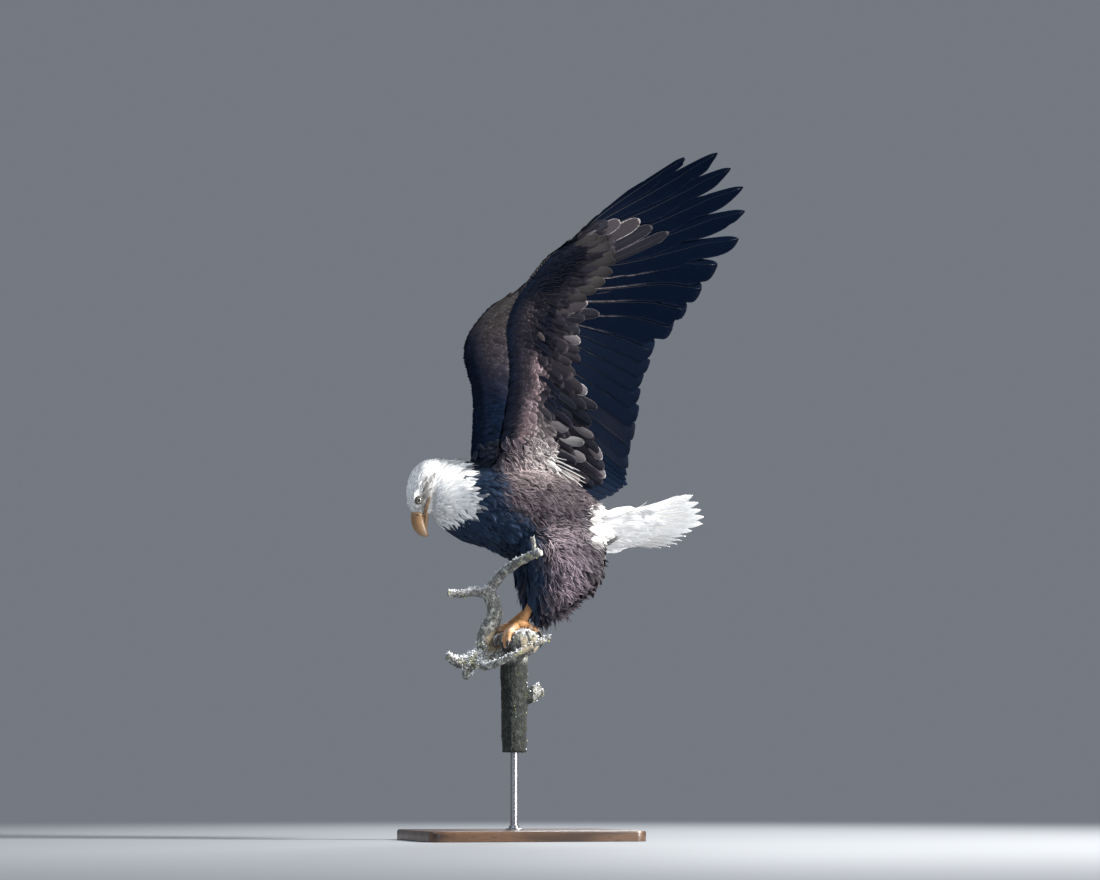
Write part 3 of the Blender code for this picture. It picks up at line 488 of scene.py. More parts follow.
# ------------------------------------------------------------------ finishes
class Graph:
    """Short hand for the nodes and links of one node tree."""

    def __init__(self, tree: bpy.types.NodeTree) -> None:
        """Work on this tree."""
        self.tree = tree

    def node(self, kind: str, *feeds: object, **settings: object) -> bpy.types.Node:
        """A node with settings and its first inputs fed by sockets or numbers."""
        node = self.tree.nodes.new("ShaderNode" + kind)
        for key, value in settings.items():
            setattr(node, key, value)
        for k, value in enumerate(feeds):
            self.feed(node.inputs[k], value)
        return node

    def feed(self, socket: bpy.types.NodeSocket, value: object) -> None:
        """Link a socket or set its number; None leaves it."""
        if isinstance(value, bpy.types.NodeSocket):
            self.tree.links.new(value, socket)
        elif value is not None:
            if isinstance(value, tuple) and len(value) == 3 and socket.type == "RGBA":
                value = (*value, 1.0)
            socket.default_value = value

    def math(self, operation: str, a: object, b: object = None, clamp: bool = False) -> object:
        """Result of one arithmetic step."""
        return self.node("Math", a, b, operation=operation, use_clamp=clamp).outputs[0]

    def ramp(self, x: object, low: float, high: float, start: float = 0.0, end: float = 1.0) -> object:
        """start where x is at low and end at high, eased between."""
        return self.node("MapRange", x, low, high, start, end, interpolation_type="SMOOTHSTEP").outputs[0]

    def mix(self, share: object, a: object, b: object, kind: str = "MIX") -> object:
        """Two colours mixed by a share."""
        node = self.node("Mix", data_type="RGBA", blend_type=kind)
        for socket, value in ((node.inputs[0], share), (node.inputs[6], a), (node.inputs[7], b)):
            self.feed(socket, value)
        return node.outputs[2]

    def noise(self, place: object, scale: float, detail: float = 4.0, rough: float = 0.6) -> object:
        """Cloudy mask about 0.5."""
        node = self.node("TexNoise")
        for key, value in (("Vector", place), ("Scale", scale), ("Detail", detail), ("Roughness", rough)):
            self.feed(node.inputs[key], value)
        return node.outputs["Fac"]

    def walls(self, place: object, scale: float) -> object:
        """Distance to the nearest wall between cells."""
        node = self.node("TexVoronoi", feature="DISTANCE_TO_EDGE")
        self.feed(node.inputs["Vector"], place)
        self.feed(node.inputs["Scale"], scale)
        return node.outputs["Distance"]

    def stretch(self, place: object, scale: tuple) -> object:
        """A place scaled along each axis."""
        node = self.node("Mapping")
        self.feed(node.inputs["Vector"], place)
        node.inputs["Scale"].default_value = scale
        return node.outputs["Vector"]

    def attribute(self, name: str) -> object:
        """A colour stored at the points."""
        return self.node("Attribute", attribute_name=name).outputs["Color"]

    def bump(self, height: object, strength: float, distance: float) -> object:
        """Normal from a height."""
        node = self.node("Bump")
        node.inputs["Strength"].default_value = strength
        node.inputs["Distance"].default_value = distance
        self.feed(node.inputs["Height"], height)
        return node.outputs["Normal"]

    def vane_place(self) -> object:
        """Place across and along a part, from its own UV map."""
        return self.node("UVMap", uv_map="Vane").outputs[0]

    def shaded(self, mask: object, low: float, high: float) -> object:
        """The stored tint times low where a cloudy mask is small and high where it is large."""
        return self.mix(1.0, self.attribute("tint"), self.ramp(mask, 0.3, 0.7, low, high), "MULTIPLY")

    def dress(self, shader: bpy.types.Node, colour: object, bump: tuple | None = None,
              rough: object = None) -> None:
        """Feed a shader.

        Args:
            shader: The shader.
            colour: Its base colour.
            bump: Height, strength and distance of its relief.
            rough: Its roughness, where that changes over the surface.
        """
        self.feed(shader.inputs["Base Color"], colour)
        self.feed(shader.inputs["Roughness"], rough)
        if bump:
            self.feed(shader.inputs["Normal"], self.bump(*bump))


def group(name: str, sockets: tuple, outputs: tuple) -> tuple:
    """A new shader node group.

    Args:
        name: The group's name.
        sockets: Pairs of input name and kind.
        outputs: Pairs of output name and kind.

    Returns:
        The tree, its graph, and its input and output nodes.
    """
    tree = bpy.data.node_groups.new(name, "ShaderNodeTree")
    for way, pairs in (("INPUT", sockets), ("OUTPUT", outputs)):
        for label, kind in pairs:
            tree.interface.new_socket(label, in_out=way, socket_type="NodeSocket" + kind)
    return tree, Graph(tree), tree.nodes.new("NodeGroupInput"), tree.nodes.new("NodeGroupOutput")


def vane_group() -> bpy.types.NodeTree:
    """Feather pattern: slanting barbs, a shaft down the middle and a paler worn rim."""
    if "vane" in bpy.data.node_groups:
        return bpy.data.node_groups["vane"]
    tree, g, come, go = group("vane", (
        ("Place", "Vector"), ("Object", "Vector"), ("Tint", "Color"), ("Fringe", "Color"),
        ("Barbs", "Float"), ("Slant", "Float"), ("Shaft", "Float"), ("Rim", "Float"),
        ("Shaft colour", "Color")), (("Color", "Color"), ("Height", "Float")))
    value = come.outputs
    split = g.node("SeparateXYZ", value["Place"])
    side = g.math("ABSOLUTE", g.math("MULTIPLY", g.math("SUBTRACT", split.outputs[0], 0.5), 2.0))
    down = split.outputs[1]
    phase = g.math("SUBTRACT", g.math("MULTIPLY", down, value["Barbs"]),
                   g.math("MULTIPLY", side, value["Slant"]))
    phase = g.math("ADD", phase, g.math("MULTIPLY", g.noise(value["Object"], 60.0, 2.0), 5.0))
    streak_at = g.node("CombineXYZ", phase, g.math("MULTIPLY", side, 0.7)).outputs[0]
    streak = g.noise(streak_at, 1.0, 3.0, 0.7)
    barb = g.math("SINE", g.math("MULTIPLY", phase, 6.2832))
    rim = g.math("MAXIMUM", g.ramp(side, value["Rim"], 1.0),
                 g.ramp(down, g.math("ADD", value["Rim"], 0.12), 1.0))
    rim = g.math("MULTIPLY", rim, g.ramp(streak, 0.3, 0.62), clamp=True)
    colour = g.mix(rim, value["Tint"], value["Fringe"])
    colour = g.mix(0.55, colour, g.mix(1.0, colour, g.ramp(streak, 0.25, 0.75, 0.55, 1.35), "MULTIPLY"))
    shaft = g.ramp(side, value["Shaft"], g.math("MULTIPLY", value["Shaft"], 0.45))
    shaft = g.math("MULTIPLY", shaft, g.ramp(down, 1.0, 0.85))
    colour = g.mix(g.math("MULTIPLY", shaft, 0.75), colour, value["Shaft colour"])
    height = g.math("ADD", g.math("MULTIPLY", barb, 0.25),
                    g.math("ADD", g.math("MULTIPLY", streak, 0.8), shaft))
    for socket, result in zip(go.inputs, (colour, height)):
        g.feed(socket, result)
    return tree


def grain_group() -> bpy.types.NodeTree:
    """Fine and broad unevenness shared by horn, skin and bark: a mask of each and a height."""
    if "grain" in bpy.data.node_groups:
        return bpy.data.node_groups["grain"]
    tree, g, come, go = group("grain", (("Place", "Vector"), ("Broad", "Float"), ("Fine", "Float")),
                              (("Broad", "Float"), ("Fine", "Float"), ("Height", "Float")))
    broad = g.noise(come.outputs[0], come.outputs[1], 3.0)
    fine = g.noise(come.outputs[0], come.outputs[2], 5.0, 0.65)
    height = g.math("ADD", g.math("MULTIPLY", broad, 0.6), g.math("MULTIPLY", fine, 0.4))
    for socket, result in zip(go.inputs, (broad, fine, height)):
        g.feed(socket, result)
    return tree


@dataclass(frozen=True)
class Finish:
    """What every finish has: a name and the settings of its shader."""
    name: str
    roughness: float = 0.6
    metallic: float = 0.0
    sheen: float = 0.0
    coat: float = 0.0
    specular: float = 0.5
    subsurface: float = 0.0

    def start(self) -> tuple[Material, Graph, bpy.types.Node, object]:
        """The material with its plain values set, its graph, shader and Object coordinates."""
        material = bpy.data.materials.new(self.name)
        material.use_nodes = True
        shader = material.node_tree.nodes["Principled BSDF"]
        for key, value in (("Roughness", self.roughness), ("Metallic", self.metallic),
                           ("Sheen Weight", self.sheen), ("Coat Weight", self.coat),
                           ("Coat Roughness", 0.08), ("Specular IOR Level", self.specular),
                           ("Subsurface Weight", self.subsurface), ("Subsurface Scale", 0.004)):
            shader.inputs[key].default_value = value
        g = Graph(material.node_tree)
        return material, g, shader, g.node("TexCoord").outputs["Object"]

    def grain(self, g: Graph, place: object, broad: float, fine: float) -> object:
        """Broad mask, fine mask and height of the grain group placed in a material."""
        return g.node("Group", place, broad, fine, node_tree=grain_group()).outputs


@dataclass(frozen=True)
class FeatherFinish(Finish):
    """Vaned feathers coloured by each feather's own tint and fringe."""
    barbs: float = 26.0
    slant: float = 7.0
    shaft: float = 0.1
    rim: float = 0.62
    shaft_colour: Colour = (0.1, 0.075, 0.06)
    relief: float = 0.35

    def material(self) -> Material:
        """The material: the vane group on the feather's own UV map."""
        material, g, shader, place = self.start()
        vane = g.node("Group", g.vane_place(), place, g.attribute("tint"), g.attribute("fringe"), self.barbs,
                      self.slant, self.shaft, self.rim, self.shaft_colour, node_tree=vane_group()).outputs
        g.dress(shader, vane[0], (vane[1], self.relief, 0.0006))
        return material


@dataclass(frozen=True)
class SkinFinish(Finish):
    """Down and feather roots seen between the feathers, with the plumage's own markings."""

    def material(self) -> Material:
        """The material: stored colours under a fine fibrous grain."""
        material, g, shader, place = self.start()
        _, fine, height = self.grain(g, g.stretch(place, (1.0, 0.4, 1.0)), 60.0, 420.0)
        g.dress(shader, g.shaded(fine, 0.55, 1.15), (height, 0.6, 0.002))
        return material


@dataclass(frozen=True)
class HornFinish(Finish):
    """Bill and claws: growth lines along the horn over stored colours."""
    lines: float = 14.0
    relief: float = 0.12

    def material(self) -> Material:
        """The material: stored colours, faint growth lines and a soft polish."""
        material, g, shader, place = self.start()
        broad, fine, _ = self.grain(g, place, 90.0, 700.0)
        lines = g.noise(g.stretch(g.vane_place(), (2.0, self.lines, 1.0)), 3.0)
        cloud = g.math("ADD", g.math("MULTIPLY", lines, 0.6), g.math("MULTIPLY", broad, 0.4))
        g.dress(shader, g.shaded(cloud, 0.82, 1.1), (g.math("ADD", lines, fine), self.relief, 0.0008),
                g.ramp(fine, 0.3, 0.7, self.roughness - 0.08, self.roughness + 0.12))
        return material


@dataclass(frozen=True)
class ScaleFinish(Finish):
    """Scaled skin of shanks and toes, lids and cere."""
    size: float = 420.0
    relief: float = 0.5

    def material(self) -> Material:
        """The material: small rounded scales with darker creases over stored colours."""
        material, g, shader, place = self.start()
        broad, fine, _ = self.grain(g, place, 70.0, 500.0)
        crease = g.ramp(g.walls(place, self.size), 0.0, 0.18)
        tint = g.shaded(broad, 0.75, 1.15)
        g.dress(shader, g.mix(crease, g.mix(1.0, tint, (0.42, 0.34, 0.3), "MULTIPLY"), tint),
                (g.math("ADD", crease, fine), self.relief, 0.0009))
        return material


@dataclass(frozen=True)
class EyeFinish(Finish):
    """Eyeball: stored rings of pupil and iris under a wet cornea, with fine spokes in the iris."""

    def material(self) -> Material:
        """The material: stored colours, spokes from the ball's own UV map."""
        material, g, shader, _ = self.start()
        spokes = g.noise(g.stretch(g.vane_place(), (60.0, 2.0, 1.0)), 1.0, 3.0)
        g.dress(shader, g.shaded(spokes, 0.8, 1.08))
        return material


@dataclass(frozen=True)
class BarkFinish(Finish):
    """Weathered grey bark with lichen, and pale bare wood where stored."""
    bark: Colour = (0.275, 0.272, 0.258)
    dark: Colour = (0.075, 0.073, 0.068)
    lichen: Colour = (0.47, 0.475, 0.43)
    leaf: Colour = (0.34, 0.33, 0.15)
    rime: Colour = (0.78, 0.8, 0.82)
    wood: tuple = ((0.2, 0.16, 0.1), (0.42, 0.36, 0.25))

    def material(self) -> Material:
        """The material: cracks, lichen patches and rime on what faces up; wood by the stored mask."""
        material, g, shader, place = self.start()
        _, fine, height = self.grain(g, place, 28.0, 260.0)
        crack = g.ramp(g.walls(g.stretch(place, (1.0, 1.0, 0.45)), 190.0), 0.0, 0.12)
        colour = g.mix(crack, self.dark, g.mix(g.ramp(fine, 0.3, 0.7), self.dark, self.bark))
        colour = g.mix(g.ramp(g.noise(place, 75.0, 6.0, 0.7), 0.5, 0.62), colour, self.lichen)
        yellow = g.ramp(g.noise(place, 33.0, 3.0), 0.58, 0.68)
        colour = g.mix(g.math("MULTIPLY", yellow, 0.8), colour, self.leaf)
        colour = g.mix(g.ramp(g.noise(place, 130.0, 4.0, 0.7), 0.57, 0.66), colour, self.dark)
        up = g.node("SeparateXYZ", g.node("NewGeometry").outputs["Normal"]).outputs[2]
        frost = g.math("MULTIPLY", g.ramp(up, 0.2, 0.8), g.ramp(g.noise(place, 120.0, 5.0, 0.7), 0.42, 0.56))
        colour = g.mix(frost, colour, self.rime)
        wood = g.node("SeparateColor", g.attribute("fringe")).outputs[0]
        fibre = g.noise(g.stretch(place, (1.0, 0.15, 1.0)), 500.0, 3.0)
        colour = g.mix(wood, colour, g.mix(g.ramp(fibre, 0.3, 0.7), *self.wood))
        height = g.math("ADD", g.math("MULTIPLY", crack, 0.7), g.math("ADD", height, frost))
        g.dress(shader, g.mix(1.0, colour, g.attribute("tint"), "MULTIPLY"), (height, 0.7, 0.002))
        return material


@dataclass(frozen=True)
class RimeFinish(Finish):
    """Frost crystals and lichen leaves in their stored colours."""

    def material(self) -> Material:
        """The material: stored colours with a granular relief."""
        material, g, shader, place = self.start()
        fine = self.grain(g, place, 150.0, 900.0)[1]
        g.dress(shader, g.shaded(fine, 0.8, 1.08), (fine, 0.5, 0.0006))
        return material


@dataclass(frozen=True)
class WoodFinish(Finish):
    """Stained hardwood with long grain along Y."""
    light: Colour = (0.115, 0.062, 0.034)
    dark: Colour = (0.04, 0.021, 0.012)

    def material(self) -> Material:
        """The material: growth bands and pores stretched along the board."""
        material, g, shader, place = self.start()
        fine = self.grain(g, g.stretch(place, (1.0, 0.06, 1.0)), 30.0, 700.0)[1]
        growth = g.noise(g.stretch(place, (1.0, 0.12, 1.0)), 7.0, 3.0)
        bands = g.math("SINE", g.math("MULTIPLY", growth, 60.0))
        colour = g.mix(g.ramp(bands, -1.0, 1.0), self.dark, self.light)
        g.dress(shader, g.mix(g.ramp(fine, 0.35, 0.5), self.dark, colour), (fine, 0.1, 0.0006),
                g.ramp(fine, 0.3, 0.7, 0.42, 0.3))
        return material


@dataclass(frozen=True)
class SteelFinish(Finish):
    """Dark brushed steel, turned round the rod."""
    dark: Colour = (0.3, 0.3, 0.31)
    light: Colour = (0.42, 0.42, 0.43)

    def material(self) -> Material:
        """The material: fine rings along Z over the plain metal."""
        material, g, shader, place = self.start()
        rings = g.noise(g.stretch(place, (1.0, 1.0, 60.0)), 40.0, 3.0)
        g.dress(shader, g.mix(g.ramp(rings, 0.3, 0.7), self.dark, self.light),
                rough=g.ramp(rings, 0.3, 0.7, 0.24, 0.4))
        return material


@dataclass(frozen=True)
class FloorFinish(Finish):
    """Pale studio floor that fades into the grey surround away from the stand."""
    near: Colour = (0.27, 0.285, 0.305)
    far: Colour = (0.175, 0.192, 0.222)

    def material(self) -> Material:
        """The material: matt floor near the middle, plain light of the surround far off."""
        material, g, shader, place = self.start()
        shader.inputs["Base Color"].default_value = (*self.near, 1.0)
        reach = g.node("VectorMath", place, operation="LENGTH").outputs["Value"]
        glow = g.node("Emission", (*self.far, 1.0), 1.0)
        both = g.node("MixShader", g.ramp(reach, 1.2, 5.0), shader.outputs[0], glow.outputs[0])
        g.feed(material.node_tree.nodes["Material Output"].inputs[0], both.outputs[0])
        return material


# ------------------------------------------------------------------ wing
@dataclass(frozen=True)
class Mark:
    """A soft patch of colour on the wing, at a feather number and chord fraction: a marking, painted light or
    painted shade.
    """
    q: float
    v: float
    dq: float
    dv: float
    tint: Colour
    fringe: Colour


@dataclass(frozen=True)
class CovertRow:
    """One row of coverts that lie over the wing, roots toward the leading edge."""
    first: float                      # feather numbers covered
    last: float
    step: float                       # feather numbers from one covert to the next
    root: tuple                       # chord fraction of the roots at knots
    tip: tuple                        # chord fraction of the tips at the same knots
    knots: tuple = (-0.5, 25.5)
    spread: float = 0.85              # half width as a share of the spacing
    lift: float = 0.0045              # rise from root to tip
    base: float = -0.003              # height of the root over the coat's surface
    lean: float = 0.0                 # drift toward the wing tip, feather numbers
    uneven: float = 0.1               # irregular length and direction
    kind: str = "covert"


# each face's first mark is its ground colour everywhere, and the others lie over it in turn; on the underside
# the pinkish marks near chord fraction 0.2 are painted light on the coverts, and the blue-black marks, along
# the leading edge and over the hand, are painted shade
UNDER_MARKS_LIGHT_AND_SHADE = (
    Mark(12.0, 0.3, 30.0, 9.0, (0.015, 0.0138, 0.019), (0.04, 0.034, 0.041)),
    Mark(14.3, 0.11, 1.5, 0.06, (0.042, 0.034, 0.037), (0.15, 0.118, 0.122)),
    Mark(11.4, 0.5, 1.8, 0.1, (0.02, 0.0175, 0.023), (0.07, 0.058, 0.066)),
    Mark(9.2, 0.24, 1.2, 0.05, (0.15, 0.11, 0.121), (0.42, 0.32, 0.332)),
    Mark(7.4, 0.23, 1.2, 0.04, (0.082, 0.062, 0.068), (0.26, 0.2, 0.208)),
    Mark(5.6, 0.19, 1.3, 0.045, (0.15, 0.112, 0.126), (0.42, 0.33, 0.348)),
    Mark(3.2, 0.2, 1.7, 0.062, (0.195, 0.138, 0.146), (0.45, 0.38, 0.38)),
    Mark(1.2, 0.24, 1.5, 0.075, (0.15, 0.118, 0.124), (0.4, 0.33, 0.33)),
    Mark(7.9, 0.1, 2.4, 0.03, (0.024, 0.0205, 0.026), (0.075, 0.062, 0.07)),
    Mark(4.2, 0.35, 1.9, 0.09, (0.086, 0.076, 0.079), (0.23, 0.208, 0.206)),
    Mark(2.4, 0.34, 1.2, 0.08, (0.125, 0.106, 0.11), (0.32, 0.28, 0.276)),
    Mark(18.3, 0.14, 3.8, 0.16, (0.0012, 0.002, 0.0054), (0.004, 0.0045, 0.009)),
    Mark(11.8, 0.28, 1.4, 0.105, (0.002, 0.003, 0.0074), (0.005, 0.006, 0.011)),
    Mark(13.9, 0.28, 1.3, 0.08, (0.0024, 0.0034, 0.008), (0.006, 0.007, 0.012)),
    Mark(8.0, 0.45, 1.6, 0.11, (0.0026, 0.0044, 0.0105), (0.007, 0.009, 0.017)),
    Mark(7.0, 0.35, 0.8, 0.05, (0.003, 0.0048, 0.011), (0.008, 0.01, 0.018)),
    Mark(12.0, -0.03, 30.0, 0.12, (0.0032, 0.0068, 0.017), (0.007, 0.012, 0.024)),
)
# upper face: the lighter brown marks near the wrist are partly painted light, and the blue-black marks low on
# the wing and along its edge are painted shade
OVER_MARKS_LIGHT_AND_SHADE = (
    Mark(12.0, 0.3, 30.0, 9.0, (0.012, 0.0125, 0.019), (0.026, 0.025, 0.032)),
    Mark(13.5, 0.22, 4.5, 0.15, (0.031, 0.026, 0.03), (0.078, 0.064, 0.07)),
    Mark(19.6, 0.07, 2.6, 0.13, (0.044, 0.04, 0.04), (0.062, 0.056, 0.055)),
    Mark(16.4, 0.12, 1.6, 0.14, (0.036, 0.031, 0.031), (0.07, 0.06, 0.06)),
    Mark(3.6, 0.18, 6.4, 0.6, (0.0034, 0.01, 0.027), (0.007, 0.015, 0.034)),
    Mark(10.5, 0.02, 5.2, 0.1, (0.0042, 0.009, 0.022), (0.009, 0.014, 0.028)),
    Mark(21.0, 0.42, 5.0, 0.1, (0.005, 0.008, 0.015), (0.014, 0.016, 0.026)),
)
# feather number and chord fraction of root and tip, half width, and dress of the large under coverts
LOBES = (
    (23.1, 0.09, 23.9, 0.24, 0.01, "dark"), (22.4, 0.12, 23.2, 0.28, 0.012, "dim"),
    (21.5, 0.17, 22.35, 0.355, 0.0165, "rim"), (20.6, 0.22, 21.75, 0.465, 0.0185, "rim"),
    (19.5, 0.27, 21.05, 0.53, 0.0165, "soft"), (18.6, 0.31, 20.5, 0.62, 0.016, "soft"),
    (21.3, 0.1, 21.7, 0.235, 0.013, "grey"), (20.7, 0.14, 21.1, 0.285, 0.015, "grey"),
    (20.1, 0.18, 20.4, 0.33, 0.0155, "grey"), (19.5, 0.21, 19.8, 0.375, 0.015, "pale"),
    (18.9, 0.24, 19.2, 0.42, 0.016, "grey"), (18.2, 0.26, 18.5, 0.45, 0.0155, "grey"),
    (17.5, 0.27, 17.8, 0.45, 0.0145, "pale"), (16.8, 0.27, 17.1, 0.44, 0.015, "grey"),
    (16.0, 0.27, 16.4, 0.42, 0.014, "grey"), (22.6, 0.14, 22.9, 0.2, 0.003, "stone"),
    (15.0, 0.33, 15.7, 0.56, 0.015, "soft"), (14.7, 0.24, 16.2, 0.44, 0.016, "rim"),
    (14.4, 0.3, 15.2, 0.5, 0.016, "dim"), (13.9, 0.33, 14.2, 0.505, 0.015, "soft"),
    (13.0, 0.36, 13.4, 0.53, 0.0135, "frost"), (12.3, 0.36, 12.7, 0.54, 0.0125, "dusk"),
    (11.6, 0.38, 12.1, 0.56, 0.013, "dusk"), (12.4, 0.19, 12.1, 0.27, 0.0065, "warm"),
    (11.0, 0.32, 11.5, 0.5, 0.013, "rust"), (10.6, 0.36, 10.9, 0.54, 0.014, "rust"),
    (10.4, 0.46, 10.3, 0.64, 0.015, "frost"), (10.0, 0.4, 10.1, 0.6, 0.0175, "rust"),
    (9.7, 0.52, 9.9, 0.725, 0.013, "soft"), (9.0, 0.42, 9.3, 0.64, 0.016, "dim"),
    (8.4, 0.36, 8.7, 0.56, 0.017, "dark"), (8.3, 0.48, 8.6, 0.69, 0.015, "dark"),
    (7.3, 0.33, 7.7, 0.54, 0.016, "dark"), (6.9, 0.5, 7.8, 0.715, 0.012, "stone"),
    (6.9, 0.56, 6.6, 0.77, 0.014, "dim"), (7.4, 0.6, 6.0, 0.8, 0.0135, "frost"),
    (5.4, 0.58, 4.6, 0.83, 0.016, "dim"), (4.1, 0.6, 3.5, 0.865, 0.0175, "frost"),
    (3.3, 0.58, 2.5, 0.88, 0.017, "dim"), (2.6, 0.56, 1.4, 0.86, 0.016, "dark"),
    (5.7, 0.32, 6.5, 0.52, 0.015, "stone"), (4.1, 0.43, 6.4, 0.655, 0.013, "ash"),
    (3.5, 0.44, 4.2, 0.69, 0.0145, "stone"), (2.8, 0.38, 3.1, 0.64, 0.013, "soft"),
    (0.9, 0.3, 1.5, 0.74, 0.02, "fawn"), (0.0, 0.28, 0.7, 0.76, 0.023, "fawn"),
    (-0.3, 0.26, 0.1, 0.7, 0.02, "fawn"), (2.1, 0.35, 1.8, 0.51, 0.0075, "white"),
    (1.5, 0.44, 0.9, 0.6, 0.0036, "white"), (1.9, 0.48, 0.8, 0.8, 0.0013, "white"),
    (1.6, 0.5, -0.1, 0.74, 0.0013, "white"), (2.3, 0.4, 2.4, 0.64, 0.0016, "white"),
    (1.8, 0.42, 1.6, 0.57, 0.005, "white"), (2.5, 0.34, 2.3, 0.48, 0.0028, "white"),
    (1.9, 0.44, 2.0, 0.76, 0.0015, "white"), (2.0, 0.42, 2.6, 0.69, 0.0013, "white"),
    (1.6, 0.48, 0.5, 0.68, 0.0013, "white"), (1.4, 0.52, 0.2, 0.76, 0.0012, "white"),
    (1.7, 0.5, 1.2, 0.7, 0.0014, "white"), (2.2, 0.38, 3.0, 0.56, 0.001, "white"),
    (1.9, 0.46, 1.5, 0.79, 0.0011, "white"), (2.4, 0.36, 1.3, 0.56, 0.0012, "white"),
    (0.9, 0.42, 0.1, 0.6, 0.001, "white"), (0.2, 0.5, 0.3, 0.7, 0.001, "white"),
)
DRESS = {
    "grey": ((0.025, 0.0232, 0.0245), (0.04, 0.037, 0.038)),
    "pale": ((0.036, 0.033, 0.0335), (0.062, 0.056, 0.055)),
    "rim": ((0.04, 0.035, 0.041), (0.42, 0.385, 0.38)),
    "soft": ((0.011, 0.0118, 0.018), (0.12, 0.106, 0.112)),
    "warm": ((0.042, 0.033, 0.036), (0.12, 0.098, 0.1)),
    "dim": ((0.011, 0.0115, 0.018), (0.07, 0.062, 0.07)),
    # dark: painted shade, blue-black lobes where the underside lies in shade
    "dark": ((0.0026, 0.0044, 0.0105), (0.01, 0.012, 0.021)),
    "fawn": ((0.21, 0.172, 0.17), (0.42, 0.36, 0.35)),
    "dusk": ((0.015, 0.0138, 0.0195), (0.055, 0.047, 0.055)),
    "rust": ((0.0175, 0.0148, 0.0195), (0.046, 0.038, 0.045)),
    "ash": ((0.2, 0.192, 0.196), (0.36, 0.345, 0.345)),
    "stone": ((0.1, 0.092, 0.098), (0.3, 0.275, 0.28)),
    "frost": ((0.105, 0.094, 0.102), (0.6, 0.57, 0.57)),
    "white": ((0.76, 0.74, 0.71), (0.88, 0.86, 0.84)),
}
UNDER_ROWS = (
    CovertRow(-0.4, 15.8, 0.8, (0.42, 0.42, 0.34, 0.28, 0.22), (0.8, 0.84, 0.7, 0.5, 0.46),
              (-0.5, 3.5, 8.0, 11.0, 16.0), 0.8, 0.006, -0.003, -0.2, 0.09, "great"),
    CovertRow(16.0, 24.5, 0.62, (0.08, 0.1, 0.06), (0.32, 0.4, 0.2), (16.0, 19.0, 24.5), 0.85,
              0.0055, -0.0025, 0.2, 0.12, "median"),
    CovertRow(-0.4, 15.8, 0.62, (0.3, 0.3, 0.26, 0.2), (0.6, 0.6, 0.46, 0.38),
              (-0.5, 4.0, 9.0, 16.0), 0.85, 0.007, -0.003, 0.0, 0.14, "median"),
    CovertRow(-0.4, 15.8, 0.5, (0.22, 0.22, 0.16), (0.44, 0.4, 0.3), (-0.5, 6.0, 16.0), 0.85,
              0.0065, -0.003, 0.0, 0.16, "median"),
)
OVER_ROWS = (
    CovertRow(15.8, 25.2, 0.9, (0.14, 0.16, 0.1, 0.05), (0.5, 0.56, 0.44, 0.24),
              (15.8, 19.0, 22.5, 25.5), 0.8, 0.0045, -0.003, 0.2, 0.04, "great"),
    CovertRow(-0.4, 16.0, 0.9, (0.3, 0.3, 0.2), (0.64, 0.62, 0.5), (-0.5, 6.0, 16.0), 0.82,
              0.005, -0.003, 0.0, 0.05, "great"),
    CovertRow(16.0, 24.5, 0.7, (0.06, 0.08, 0.04), (0.26, 0.34, 0.16), (16.0, 19.0, 24.5), 0.85,
              0.005, -0.0025, 0.2, 0.06, "median"),
    CovertRow(-0.4, 16.0, 0.64, (0.22, 0.2, 0.14), (0.48, 0.44, 0.36), (-0.5, 6.0, 16.0), 0.85,
              0.006, -0.003, 0.0, 0.08, "median"),
    CovertRow(-0.4, 16.0, 0.52, (0.16, 0.15, 0.1), (0.37, 0.34, 0.27), (-0.5, 6.0, 16.0), 0.85,
              0.006, -0.003, 0.0, 0.1, "median"),
)


def lesser_rows() -> tuple:
    """Rows of small coverts from the leading edge back: flat and swept outward along the edge."""
    rows = []
    knots = (11.0, 17.5, 19.4, 20.4, 21.7, 24.9)
    share = np.array((1.0, 0.93, 0.78, 0.56, 0.36, 0.2))
    for k in range(11):
        v = 0.003 + 0.021 * k
        reach = 0.042 + 0.009 * k
        rows.append(CovertRow(-0.45 + 0.2 * (k % 2), 24.9 - 0.5 * k, 0.36 + 0.014 * k, tuple(v * share),
                              tuple((v + reach) * share), knots, 0.86, 0.001 + 0.0006 * min(k, 6),
                              -0.002, 0.75 - 0.08 * k, 0.05 + 0.022 * k, "lesser"))
    return tuple(rows[::-1])


KINDS = {
    "great": Vane((0.0, 0.25, 0.5, 0.72, 0.88, 0.96, 1.0), (0.45, 0.78, 0.95, 1.0, 0.84, 0.52, 0.14),
                  5, 0.16, 0.0006, 0.018, 0.03),
    "median": Vane((0.0, 0.28, 0.55, 0.78, 0.92, 1.0), (0.45, 0.82, 1.0, 0.94, 0.62, 0.16), 5, 0.26,
                   0.0005, 0.05, 0.07),
    "lobe": Vane((0.0, 0.2, 0.4, 0.6, 0.76, 0.87, 0.94, 0.98, 1.0),
                 (0.5, 0.78, 0.93, 1.0, 0.97, 0.84, 0.62, 0.38, 0.12), 7, 0.2, 0.0006, 0.012, 0.02),
    "lesser": Vane((0.0, 0.3, 0.6, 0.84, 1.0), (0.45, 0.9, 1.0, 0.74, 0.18), 3, 0.34, 0.0005, 0.08,
                   0.1),
}


